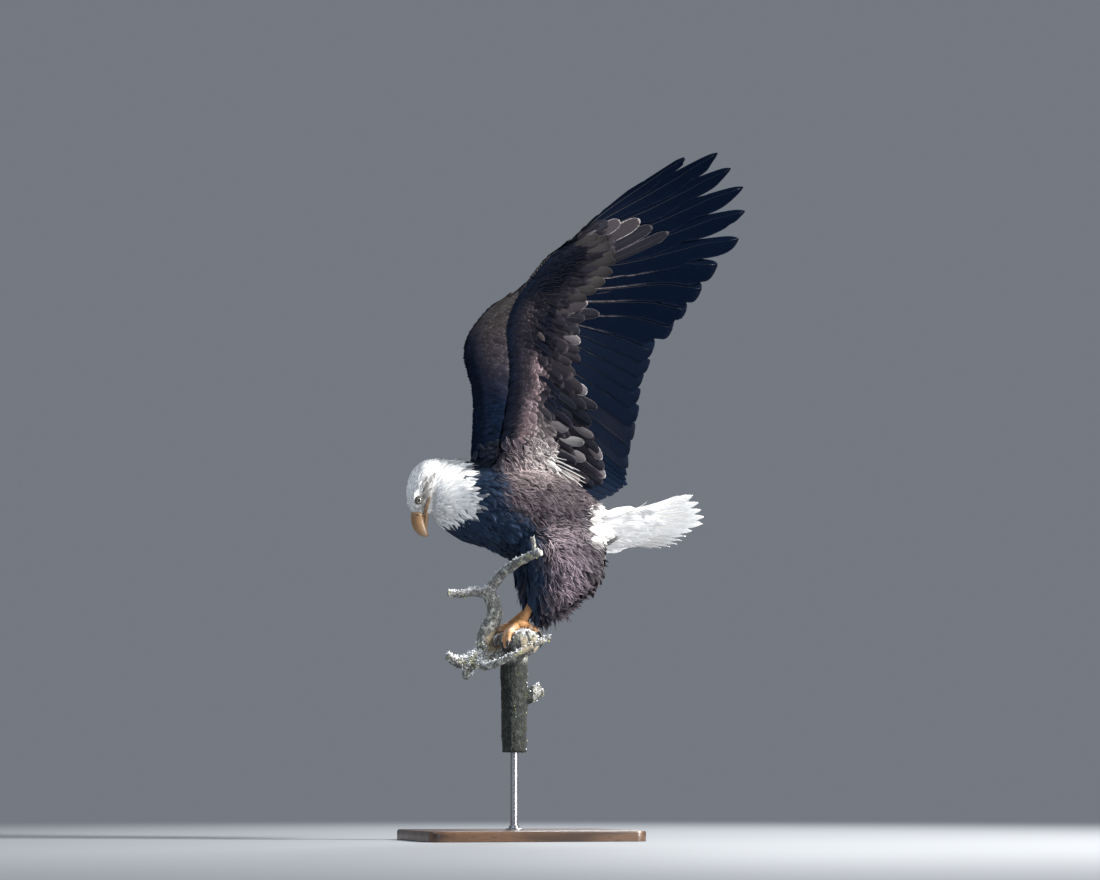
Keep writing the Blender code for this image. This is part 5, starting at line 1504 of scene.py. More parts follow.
        # painted shade: blue-black on the inner faces of the wing bases
        inner = 0.9 * smoothstep((0.069 + 0.49 * (p[..., 2] - 0.864) - np.abs(x)) / 0.012)
        inner = inner * smoothstep((p[..., 2] - 0.815) / 0.03) * (1 - smoothstep((p[..., 1] + 0.02) / 0.03))
        back = np.interp(p[..., 2], (0.68, 0.73, 0.76, 0.78), (0.116, 0.112, 0.128, 0.148))
        rump = smoothstep((p[..., 1] + 0.01 * noise(p, 0.018, 8) - back) / 0.022)
        rump = rump * smoothstep((p[..., 2] - 0.672) / 0.018) * (np.abs(x) < 0.2)
        for tint, fringe, w in (((0.011, 0.027, 0.057), (0.019, 0.036, 0.068), front),
                                ((0.007, 0.012, 0.024), (0.012, 0.019, 0.034), inner),
                                ((0.74, 0.73, 0.7), (0.84, 0.83, 0.8), rump)):
            body, rim = blend(body, tint, w), blend(rim, fringe, w)
        head = np.array((0.85, 0.85, 0.84)) * (1 + 0.03 * cloud)
        streak = np.clip(0.84 + 1.0 * noise(p * np.array((1.0, 1.0, 0.6)), 0.006, 9), 0, 1)
        side = smoothstep((np.abs(x) - 0.01) / 0.012)
        for at_f, at_u, df, du, amount, grey in self.cheeks:
            w = np.clip(amount * fall(f, at_f, df) * fall(u, at_u, du) * side * streak * 1.3, 0, 1)
            head = blend(head, np.array((grey, grey * 0.96, grey * 0.91)), w)
        return blend(body, head, white), blend(rim, head * 1.02, white)


@dataclass
class Plumage:
    """Contour feathers scattered evenly over the skin, each lying along it by three points.

    A feather's shaft is the parabola through its root, the skin's nearest point half a length on
    and the nearest point a length on, lifted from the skin more and more toward its tip.
    """
    body: Body
    skin: Object
    wings: list
    tree: BVHTree = None
    points: Array = None
    normals: Array = None
    quads: Array = None
    tries: int = 60000                # random points offered to each piece of plumage
    rooted: float = 0.0012            # depth of a root in the skin

    def __post_init__(self) -> None:
        """Build the search tree."""
        self.points, self.normals = mesh_points(self.skin)
        n = len(self.skin.data.polygons)
        starts = np.zeros(n, int)
        self.skin.data.polygons.foreach_get("loop_start", starts)
        corner = np.zeros(len(self.skin.data.loops), int)
        self.skin.data.loops.foreach_get("vertex_index", corner)
        total = np.diff(np.append(starts, len(corner)))
        four = starts[total == 4]
        self.quads = corner[four[:, None] + np.arange(4)]
        self.tree = BVHTree.FromPolygons(self.points.tolist(), self.quads.tolist())

    def nearest(self, places: Array) -> tuple[Array, Array]:
        """Nearest points on the skin, and its smoothed normals there."""
        found = [self.tree.find_nearest(Vector(p)) for p in places.reshape(-1, 3)]
        where = np.array([tuple(f[0]) for f in found])
        face = self.quads[np.array([f[2] for f in found])]
        d = np.linalg.norm(self.points[face] - where[:, None], axis=-1)
        w = 1 / (d + 1e-5)
        normal = unit((self.normals[face] * w[..., None]).sum(1))
        return where.reshape(places.shape), normal.reshape(places.shape)

    def candidates(self, count: int, rng: np.random.Generator) -> tuple[Array, Array]:
        """Random points spread evenly by area over the skin, with smoothed normals."""
        corner = self.points[self.quads]
        area = np.linalg.norm(np.cross(corner[:, 2] - corner[:, 0], corner[:, 3] - corner[:, 1]), axis=-1)
        pick = rng.choice(len(area), count, p=area / area.sum())
        a, b = rng.uniform(0, 1, (2, count, 1))
        w = np.stack([(1 - a) * (1 - b), a * (1 - b), a * b, (1 - a) * b], 1)
        face = self.quads[pick]
        return (self.points[face] * w).sum(1), unit((self.normals[face] * w).sum(1))

    @staticmethod
    def spaced(points: Array, gap: Array) -> Array:
        """Numbers of points kept so that no two are nearer than their gap, taken in turn."""
        tree = KDTree(len(points))
        for k, p in enumerate(points):
            tree.insert(p, k)
        tree.balance()
        free, kept = np.ones(len(points), bool), []
        for k in range(len(points)):
            if free[k]:
                kept.append(k)
                free[[hit[1] for hit in tree.find_range(points[k], gap[k])]] = False
        return np.array(kept)

    @staticmethod
    def lie(p: Array) -> Array:
        """Direction that feathers point in: out from the bill, back along the trunk, down the legs."""
        x, y, z = p[..., 0:1], p[..., 1:2], p[..., 2:3]
        head = unit(p - MUZZLE)
        away = np.linalg.norm(p - MUZZLE, axis=-1)
        back = unit(np.array([0.0, 0.55, 0.7]) - p)
        back = unit(back + np.array([0.0, 0.0, -0.55]) * smoothstep((np.abs(x) - 0.04) / 0.05)
                    * (1 - smoothstep((y - 0.08) / 0.08)))
        leg = unit((p - HIP) * np.array([0.35, 1.15, 1.0]) + np.array([0.0, 0.0, -0.045]))
        leg = unit(leg + np.array([0.0, 0.38, 0.0]) * smoothstep((0.6 - z) / 0.05)
                   * smoothstep((y - 0.05) / 0.05))
        front = smoothstep((0.62 - z) / 0.05) * smoothstep((0.03 - y) / 0.03)
        leg = unit(leg + front * np.array([0.0, 0.42, -0.3]))
        droop = smoothstep((0.785 - p[..., 2]) / 0.05) * smoothstep((away - 0.045) / 0.05)
        head = unit(head + np.array([0.0, 0.0, -0.75]) * droop[..., None])
        flow = blend(head, back, smoothstep((away - 0.12) / 0.08))
        low = smoothstep((0.7 - p[..., 2]) / 0.05) * smoothstep((p[..., 1] + 0.045) / 0.03)
        return unit(blend(flow, leg, low))

    def measures(self, p: Array) -> dict:
        """Spacing, length, half width, lift and looseness of the plumage by place."""
        away = np.linalg.norm(p - MUZZLE, axis=-1)
        knots = (0.02, 0.04, 0.07, 0.1, 0.135, 0.18, 0.23)
        leg = smoothstep((0.69 - p[..., 2]) / 0.06) * smoothstep((p[..., 1] + 0.03) / 0.04)
        hem = leg * smoothstep((0.59 - p[..., 2]) / 0.05)
        rear = leg * smoothstep((p[..., 1] - 0.1) / 0.07)
        length = np.interp(away, knots, (0.0055, 0.0095, 0.018, 0.03, 0.041, 0.037, 0.037))
        length = length + 0.006 * leg + 0.003 * rear + 0.014 * hem
        gap = np.interp(away, knots, (0.0022, 0.003, 0.004, 0.005, 0.0064, 0.0074, 0.0082))
        half = np.interp(away, knots, (0.0016, 0.0024, 0.0034, 0.0044, 0.0056, 0.008, 0.0094))
        lift = np.interp(away, knots, (0.0005, 0.0005, 0.0008, 0.0018, 0.005, 0.0085, 0.0095))
        f, u, _ = HEAD.local(p)
        over = u - np.interp(f, *GAPE_LINE)
        short = np.minimum(length, 0.0025 + 0.75 * over)
        length = np.where((over > 0) & (f > -0.012) & (f < 0.05), short, length)
        fore = leg * smoothstep((0.03 - p[..., 1]) / 0.04)
        rump = smoothstep((p[..., 1] - 0.15) / 0.03) * (1 - leg)
        return {"gap": gap, "length": length * (1 + 0.6 * rump), "half": half * (1 - 0.25 * leg),
                "lift": lift + 0.002 * leg - 0.008 * fore - 0.0045 * rump,
                "loose": (0.1 + 0.22 * leg + np.maximum.reduce([0.45 * hem, 0.24 * rear, 0.16 * rump]))
                         * (1 - 0.7 * fore)}

    def free(self, p: Array) -> Array:
        """True where contour feathers grow: not on the wings, eyes, bill or lids."""
        ok = np.ones(len(p), bool)
        for wing in self.wings:
            ok &= ~((self.body.out_on_wing(p, wing) > 0.035) & (p[:, 0] * wing.side.value > 0.03))
        f, u, x = HEAD.local(p)
        for side in Side:
            eye = np.array([f + 0.001, u * 1.15, x - side.value * 0.034])
            ok &= np.linalg.norm(eye, axis=0) > 0.0118
        near = np.linalg.norm(p - MUZZLE, axis=-1) < 0.06
        bill = (f > 0.025) | ((np.abs(u - np.interp(f, *GAPE_LINE)) < 0.0036) & (f > -0.009))
        return ok & ~(near & bill)

    def grow(self, name: str, keep: Ground, chart: Ground, vane: Vane, material: Material, seed: int,
             share: float = 1.0) -> Object:
        """Grow one piece of plumage on the part of the skin that keep accepts.

        Args:
            name: Name of the piece.
            keep: Function of points that is true on this piece's ground.
            chart: Function that unwraps the ground to the unit square.
            vane: Shape of the feathers.
            material: Their finish.
            seed: Start of the random draws.
            share: Scale of the spacing.

        Returns:
            The piece.
        """
        rng = np.random.default_rng(seed)
        p, n = self.candidates(self.tries, rng)
        ok = keep(p) & self.free(p)
        p, n = p[ok], n[ok]
        kept = self.spaced(p, self.measures(p)["gap"] * share)
        p, n = p[kept], n[kept]
        m = self.measures(p)
        count = len(p)
        flow = square_to(self.lie(p), n)
        side = np.cross(n, flow)
        big = (m["length"] > 0.03)[:, None]
        stray = rng.normal(0, 0.11, (count, 1)) * (1 + 0.6 * big) + 0.42 * noise(p, 0.038, 21)[:, None] * big
        flow = unit(flow + side * stray)
        length = m["length"] * rng.uniform(0.82, 1.18, count)
        ends = []
        for part in (0.5, 1.0):
            straight = p + flow * (length * part)[:, None]
            on_skin, up = self.nearest(straight)
            loose = (m["loose"] * part)[:, None]
            tuft = 1 + 0.45 * noise(p, 0.02, 23) * big[:, 0]
            lift = m["lift"] * (0.62 if part < 1 else 1.0) * rng.uniform(0.75, 1.3, count) * tuft
            ends.append(on_skin * (1 - loose) + straight * loose + up * lift[:, None])
        s = np.asarray(vane.stations)[None, :, None]
        path = ((p - n * self.rooted)[:, None] * (1 - s) * (1 - 2 * s) + ends[0][:, None] * 4 * s * (1 - s)
                + ends[1][:, None] * s * (2 * s - 1))
        curl = side[:, None] * (rng.normal(0, 0.07, (count, 1, 1)) * length[:, None, None]) * s ** 2
        normal = unit(n[:, None] * (1 - s) + up[:, None] * s)
        tint, fringe = self.body.colours(p)
        white = self.body.whiteness(p)
        tint = wear(tint, rng, np.where(white > 0.5, 0.03, 0.2)[:, None])
        fringe = wear(fringe, rng, np.where(white > 0.5, 0.02, 0.25)[:, None])
        piece = Piece()
        vane.lay(piece, path + curl, normal, m["half"] * rng.uniform(0.85, 1.15, count), chart(p), tint,
                 fringe, rng, 0.35)
        LOG.info("%s: %d feathers", name, count)
        return finish_piece(piece.object(name), material, crease=55.0)

    def wisps(self, name: str, count: int, keep: Ground, chart: Ground, material: Material,
              seed: int) -> None:
        """Loose curling barbs that stand over the plumage of flanks, belly sides and trousers, coloured
        lighter than the fringes as painted highlight.

        Args:
            name: Name of the piece.
            count: Number of tries; most places refuse.
            keep: Function of points that is true on this piece's ground.
            chart: Function that unwraps the ground to the unit square.
            material: Their finish.
            seed: Start of the random draws.
        """
        rng = np.random.default_rng(seed)
        p, n = self.candidates(count, rng)
        _, fringe = self.body.colours(p)
        near = fringe.mean(-1)
        ok = keep(p) & self.free(p) & (self.body.whiteness(p) < 0.5) & (near < 0.6)
        ok &= rng.uniform(0, 1, count) < np.clip((near - 0.045) * 5.0, 0, 0.6) * (1 + noise(p, 0.03, 27))
        p, n, fringe = p[ok], n[ok], fringe[ok]
        count = len(p)
        vane = Vane((0.0, 0.25, 0.5, 0.75, 1.0), (0.7, 1.0, 0.9, 0.6, 0.2), 3, 0.2, 0.0003)
        s = np.asarray(vane.stations)[None, :, None]
        flow = square_to(self.lie(p), n)
        side = np.cross(n, flow)
        turn = rng.normal(0, 0.3, (count, 1)) + 0.55 * noise(p, 0.024, 28)[:, None]
        ahead = unit(flow * np.cos(turn) + side * np.sin(turn))
        aside = np.cross(n, ahead)
        length = rng.uniform(0.01, 0.026, (count, 1, 1))
        bend = rng.normal(0, 0.3, (count, 1, 1))
        height = (self.measures(p)["lift"] * rng.uniform(0.7, 1.2, count) + 0.0012)[:, None, None]
        arch = length * (0.45 * s - 0.35 * s ** 2) * rng.uniform(0, 1, (count, 1, 1))
        path = (p[:, None] + n[:, None] * (height + arch) + ahead[:, None] * length * s
                + aside[:, None] * length * bend * (s ** 2 - 0.5 * s))
        piece = Piece()
        # painted highlight: the wisps take the fringe colour lightened by half, and grow most where the
        # fringes are lightest
        tint = wear(np.clip(fringe * 1.5, 0, 0.55), rng, 0.3)
        vane.lay(piece, path, np.repeat(n[:, None], 5, 1), rng.uniform(0.0004, 0.001, count), chart(p), tint,
                 tint, rng, 0.6)
        LOG.info("%s: %d wisps", name, count)
        finish_piece(piece.object(name), material)


# ------------------------------------------------------------------ head
@dataclass
class Bill:
    """Hooked upper bill with its cere and nostrils, the lower bill, and the fleshy gape."""
    # places along the head of each section's middle f, u, half width, half depth, tilt in degrees
    upper: tuple = (
        (0.016, -0.004, 0.01, 0.01, 0.0), (0.03, -0.0055, 0.015, 0.0152, 0.0),
        (0.046, -0.0074, 0.0126, 0.0164, 6.0), (0.06, -0.013, 0.0104, 0.0156, 22.0),
        (0.0695, -0.0205, 0.0078, 0.0126, 46.0), (0.075, -0.0284, 0.0046, 0.0072, 70.0),
        (0.0776, -0.0346, 0.001, 0.0014, 90.0))
    lower: tuple = (
        (0.006, -0.024, 0.009, 0.0046, 0.0), (0.024, -0.0238, 0.0132, 0.0074, 0.0),
        (0.042, -0.0236, 0.0112, 0.007, 0.0), (0.056, -0.024, 0.0082, 0.0056, 0.0),
        (0.0655, -0.0258, 0.0046, 0.0036, 0.0), (0.069, -0.0266, 0.0014, 0.0012, 0.0))
    # the gape's places along the head f, u, and half its width out and up
    corner: tuple = (
        (0.035, -0.0186, 0.0126, 0.0038), (0.026, -0.019, 0.016, 0.0044),
        (0.016, -0.02, 0.0226, 0.0042), (0.006, -0.0214, 0.0276, 0.0036),
        (-0.002, -0.023, 0.03, 0.0028), (-0.009, -0.0246, 0.0315, 0.001))
    nostril: tuple = (0.0345, -0.001)
    horn: Colour = (0.245, 0.138, 0.058)
    cere: Colour = (0.265, 0.158, 0.07)
    tip: Colour = (0.255, 0.16, 0.092)

    def rings(self, rows: tuple, count: int, sides: int, ridge: float) -> Array:
        """Egg sections, narrowed toward the ridge, along the bill."""
        s = catmull(rows, count)
        a = turns(sides)
        tilt = np.radians(s[:, 4])[:, None]
        narrow = 1 - ridge * np.clip(np.sin(a), 0, 1) ** 2
        x = s[:, 2:3] * np.sign(np.cos(a)) * np.abs(np.cos(a)) ** 0.82 * narrow
        w = s[:, 3:4] * np.sin(a)[None]
        return HEAD.place(s[:, 0:1] + w * np.sin(tilt), s[:, 1:2] + w * np.cos(tilt), x)

    def build(self, horn: Material) -> None:
        """Make both halves."""
        rings = self.rings(self.upper, 72, 48, 0.34)
        middle = rings.mean(1, keepdims=True)
        f, u, x = HEAD.local(rings)
        swell = 0.045 * (1 - smoothstep((f - 0.0345 - 0.1 * (u + 0.006)) / 0.0025)) - 0.02
        rings = rings + (rings - middle) * swell[..., None]
        hole = np.exp(-((f - self.nostril[0]) / 0.0016) ** 2 - ((u - self.nostril[1]) / 0.0027) ** 2)
        rings = rings - np.sign(x)[..., None] * np.array([0.003, 0, 0]) * hole[..., None]
        edge = np.exp(-((u + 0.0195 + 0.3 * np.clip(f - 0.045, 0, 1)) / 0.0014) ** 2) * (f < 0.062)
        tint = blend(self.cere, self.horn, smoothstep((f - 0.034) / 0.004))
        tint = blend(tint, self.tip, 0.8 * smoothstep((f - 0.062) / 0.012))
        tint = blend(tint, (0.26, 0.13, 0.05), 0.3 * edge)
        # painted shade in the nostril's hollow
        tint = blend(tint, (0.035, 0.02, 0.014), np.clip(hole * 1.5, 0, 1))
        for node, ring, colour in (("bill_upper", rings, tint),
                                   ("bill_lower", self.rings(self.lower, 40, 36, 0.0), self.horn)):
            piece = Piece()
            piece.tube(ring, colour)
            piece.solid(f"{node}_horn", horn, (node,))

    def gape(self, flesh: Material, plumage: Plumage) -> None:
        """Yellow skin from the bill's root to below the eye: padded, with the mouth's line along it."""
        rows = catmull(self.corner, 30)
        a = turns(24)
        groove = np.exp(-(np.cos(a) / 0.2) ** 2) * (np.sin(a) > 0)
        share = np.linspace(0, 1, 30)[:, None]
        pads = Piece()
        for side in Side:
            out = np.array([side.value, 0.0, 0.0])
            place = HEAD.place(np.repeat(rows[:, :1], 24, 1), rows[:, 1:2] + rows[:, 3:4] * np.cos(a),
                               side.value * rows[:, 2:3])
            on_skin, up = plumage.nearest(place)
            near = smoothstep((0.027 - rows[:, :1, None]) / 0.006)
            lie = unit(out * (1 - near) + up * near)
            rise = 0.0014 * np.sin(a) * (1 - 0.75 * groove) + 0.0012
            ring = place * (1 - near) + on_skin * near + lie * (rise * (1.1 - 0.6 * share))[..., None]
            colour = blend(np.array(self.cere) * 0.9, (0.06, 0.036, 0.026), groove * (1 - 0.5 * share))
            pads.tube(ring, blend(colour, (0.15, 0.11, 0.085), 0.7 * share))
        pads.solid("gape", flesh)


@dataclass
class Eye:
    """One eyeball with its painted iris, and the lids round it."""
    side: Side
    out: float = 0.0262
    radius: float = 0.0105
    pupil: float = 0.35               # angles from the line of sight, in radians
    iris: float = 0.64
    opening: float = 0.76

    @property
    def axes(self) -> tuple[Array, Array, Array]:
        """Line of sight, outward and a little forward, and two axes across it."""
        sight = unit(np.array([self.side.value * 0.955, 0, 0]) + 0.26 * HEAD.f + 0.02 * HEAD.u)
        up = unit(HEAD.u - sight * (HEAD.u @ sight))
        return sight, up, np.cross(sight, up)

    @property
    def centre(self) -> Array:
        """Middle of the ball."""
        return HEAD.place(0.0, 0.0, self.side.value * self.out)

    def build(self, wet: Material, lid: Material) -> None:
        """Ball as rings about the line of sight, bulged at the cornea; lids as a pinched ring."""
        sight, up, aside = self.axes
        t = np.concatenate([np.linspace(0.01, 0.95, 60), np.linspace(1.0, math.pi - 0.05, 20)])
        a = turns(48)
        r = self.radius * (1 + 0.055 * np.exp(-(t / 0.55) ** 4))
        ball = (self.centre + (r * np.cos(t))[:, None, None] * sight
                + (r * np.sin(t))[:, None, None] * (np.cos(a)[:, None] * up + np.sin(a)[:, None] * aside))
        knots = (0, self.pupil - 0.02, self.pupil + 0.02, self.iris - 0.12, self.iris - 0.02,
                 self.iris + 0.03, math.pi)
        rows = np.array([(0.004, 0.004, 0.004), (0.004, 0.004, 0.004), (0.36, 0.36, 0.32),
                         (0.5, 0.51, 0.47), (0.26, 0.26, 0.24), (0.012, 0.011, 0.01),
                         (0.02, 0.018, 0.016)])
        tint = np.stack([np.interp(t, knots, rows[:, k]) for k in range(3)], -1)
        # painted shade of the brow: the upper side of iris and pupil darkened by up to 0.45
        shaded = tint[:, None] * (1 - 0.45 * smoothstep(0.5 + 0.7 * np.cos(a + 0.9)))[:, None]
        piece = Piece()
        piece.tube(ball, shaded)
        piece.solid(f"eyeball_{self.side.label}", wet, (f"eye_{self.side.label}",))
        b = np.linspace(0, 2 * math.pi, 49)[:-1]
        squash = 1 - 0.1 * np.clip(np.cos(b), 0, 1) ** 2
        line = (self.centre + (self.radius * 1.045 * np.cos(self.opening)) * sight
                + self.radius * 1.03 * np.sin(self.opening) * squash[:, None]
                * (np.cos(b)[:, None] * up + 1.06 * np.sin(b)[:, None] * aside))
        thick = 0.00155 + 0.0006 * np.clip(np.cos(b), 0, 1)
        lids = Piece()
        out = unit(line - self.centre)
        c = np.linspace(0, 2 * math.pi, 13)[:-1]
        over = unit(np.cross(out, np.roll(line, -1, 0) - line))
        ring = line[:, None] + thick[:, None, None] * (np.cos(c)[:, None] * out[:, None]
                                                      + 1.7 * np.sin(c)[:, None] * over[:, None])
        lids.add(ring, wall(len(b), len(c), loop=True), np.zeros((0, 3)), tint=np.array((0.06, 0.055, 0.05)))
        lids.solid(f"lids_{self.side.label}", lid)


# ------------------------------------------------------------------ tail
@dataclass
class Tail:
    """Fan of twelve white tail feathers with loose coverts over and under their roots."""
    root: tuple = (0.0, 0.165, 0.7085)
    rise: float = math.radians(4.0)
    roll: float = math.radians(-33.0)
    spread: float = math.radians(25.0)
    length: float = 0.292
    count: int = 12
    base: float = 0.06                # half width of the fan at its root
    sag: float = 0.012                # sink of the middle tips
    lift: float = 0.02                # rise of the outer tips
    white: Colour = (0.85, 0.845, 0.83)

    @property
    def axes(self) -> tuple[Array, Array, Array]:
        """Unit vectors along the tail, across it and out of its lower face."""
        axis = np.array([0.0, math.cos(self.rise), math.sin(self.rise)])
        flat = np.array([math.cos(self.roll), 0.0, -math.sin(self.roll)])
        across = unit(flat - axis * (flat @ axis))
        return axis, across, np.cross(axis, across)

    def place(self, k: Array, r: Array, height: Array = 0.0) -> Array:
        """Point of the fan at feather k (0 to 11) and distance fraction r, this far below its middle."""
        axis, across, normal = self.axes
        k, r, height = np.broadcast_arrays(*(np.asarray(v, float) for v in (k, r, height)))
        c = (k - (self.count - 1) / 2) / ((self.count - 1) / 2)
        ang = c * self.spread * (0.42 + 0.58 * r)
        dist = r * self.length * (1.0 - 0.1 * np.abs(c) ** 2) * np.interp(
            c, (-1.0, -0.55, -0.15, 0.15, 0.4, 1.0), (0.76, 0.81, 0.83, 0.89, 0.985, 1.0))
        curl = -self.sag * r ** 2 * (1 - 0.4 * c ** 2) + self.lift * (c ** 2) * r
        return (np.array(self.root) + dist[..., None] * (np.cos(ang)[..., None] * axis
                + np.sin(ang)[..., None] * across)
                + (self.base * c * (1 - r))[..., None] * across + (height - curl)[..., None] * normal)

    def build(self, white: Material) -> None:
        """Tail feathers as sheets between curves of feather number; coverts laid along them."""
        rng = np.random.default_rng(51)
        s = np.concatenate([np.linspace(0.0, 0.8, 12), np.linspace(0.84, 1.0, 9)])
        columns = 9
        x = np.linspace(-1, 1, columns)
        k = np.arange(self.count)
        r = 0.02 + 0.98 * s[None] * (1 + rng.normal(0, 0.012, (self.count, 1)))
        t = np.clip((s - 0.84) / 0.16, 0, 1)
        width = np.where(t > 0, 0.62 * np.sqrt(np.clip(1 - t ** 2.2, 0.004, 1)) * (1 - 0.25 * t), 0.62)
        width = width * np.interp(s, (0, 0.3, 0.8, 1), (0.8, 1.0, 1.06, 1.0))
        wide = np.tile(width[:, None], (self.count, 1, columns))
        wide[:, 14:] *= 1 + rng.uniform(-0.16, 0.06, wide[:, 14:].shape) * np.abs(x)
        kk = k[:, None, None] + x * wide
        uneven = rng.uniform(-0.022, 0.004, (self.count, 1, columns))
        rr = np.repeat(r[..., None], columns, 2) - 0.016 * x ** 2 * t[:, None] + uneven * t[:, None] ** 2
        off = (k - (self.count - 1) / 2)[:, None, None]
        stack = 0.0003 - 0.00055 * np.abs(off)
        sheet = self.place(kk, rr, (stack - 0.0012 * np.sign(off) * x) * smoothstep(s / 0.2)[:, None])
        normal = np.broadcast_to(self.axes[2], sheet.shape)
        base = blend(self.white, (0.7, 0.64, 0.5),
                     0.35 * smoothstep((s - 0.86) / 0.14)[None] * rng.uniform(0, 1, (self.count, 1)))
        vane = Vane(tuple(s), (1.0,) * len(s), columns, 0.0, 0.0006)
        piece = Piece()
        ahead = np.cross(sheet[0, 0, 1] - sheet[0, 0, 0], sheet[0, 1, 0] - sheet[0, 0, 0]) @ self.axes[2]
        if ahead < 0:
            sheet = sheet[:, :, ::-1]
        vane.close(piece, sheet, -normal, x, np.zeros((self.count, 2)), base,
                   np.broadcast_to((0.9, 0.9, 0.89), base.shape))
        piece.strips(self.count, len(s), columns)
        finish_piece(piece.object("tail_feathers"), white, ("tail",), crease=40.0)
        shafts = Piece()
        for number in k:
            path = self.place(float(number), 0.97 * np.linspace(0.02, 1, 20))
            size = np.linspace(0.0015, 0.0003, 20)
            shafts.tube(sweep(path, size, 6, up=tuple(self.axes[2])), np.array((0.72, 0.7, 0.64)))
        finish_piece(shafts.object("tail_shafts"), white)
        self.coverts(white, rng)

    def coverts(self, white: Material, rng: np.random.Generator) -> None:
        """White coverts in rows over both faces, longest at the back, lifting a little at their tips."""
        vane = Vane((0.0, 0.25, 0.5, 0.72, 0.88, 1.0), (0.4, 0.85, 1.0, 0.86, 0.52, 0.12), 5, 0.22,
                    0.0005, 0.12, 0.12)
        s = np.asarray(vane.stations)
        piece = Piece()
        _, across, normal = self.axes
        middle = (self.count - 1) / 2
        for face in (1.0, -1.0):
            for row in range(9):
                count = 13 if row % 2 else 12
                k = np.linspace(-0.4, 11.4, count) + rng.normal(0, 0.25, count)
                c = (k - middle) / middle
                start = 0.4 - 0.052 * row - 0.05 * c ** 2 + rng.normal(0, 0.012, count)
                reach = 0.26 + 0.012 * row + rng.normal(0, 0.02, count)
                r = start[:, None] + reach[:, None] * s
                bulk = np.interp(r, (-0.2, 0.0, 0.12, 0.3, 0.5, 0.66, 1.0),
                                 (0.017, 0.019, 0.021, 0.015, 0.006, 0.0035, 0.002))
                bulk = bulk * (1 - 0.72 * np.abs(c[:, None]) ** 3)
                height = face * (bulk + 0.004 * s ** 2 * rng.gamma(2.0, 0.6, (count, 1)) - 0.003 * (1 - s))
                path = self.place(k[:, None] + rng.normal(0, 0.25, (count, 1)) * s, r, height)
                lay_normal = unit(face * normal + 0.55 * c[:, None, None] * across * np.ones((1, len(s), 1)))
                tint = wear(np.tile(self.white, (count, 1)), rng, 0.03)
                root = np.stack([(k + 0.8) / 13.0 * 0.48 + (face < 0) * 0.5, 0.1 + start * 1.6], -1)
                vane.lay(piece, path, lay_normal, rng.uniform(0.01, 0.0135, count), root, tint,
                         np.full_like(tint, 0.9), rng, 0.25)
        finish_piece(piece.object("tail_coverts"), white, crease=55.0)


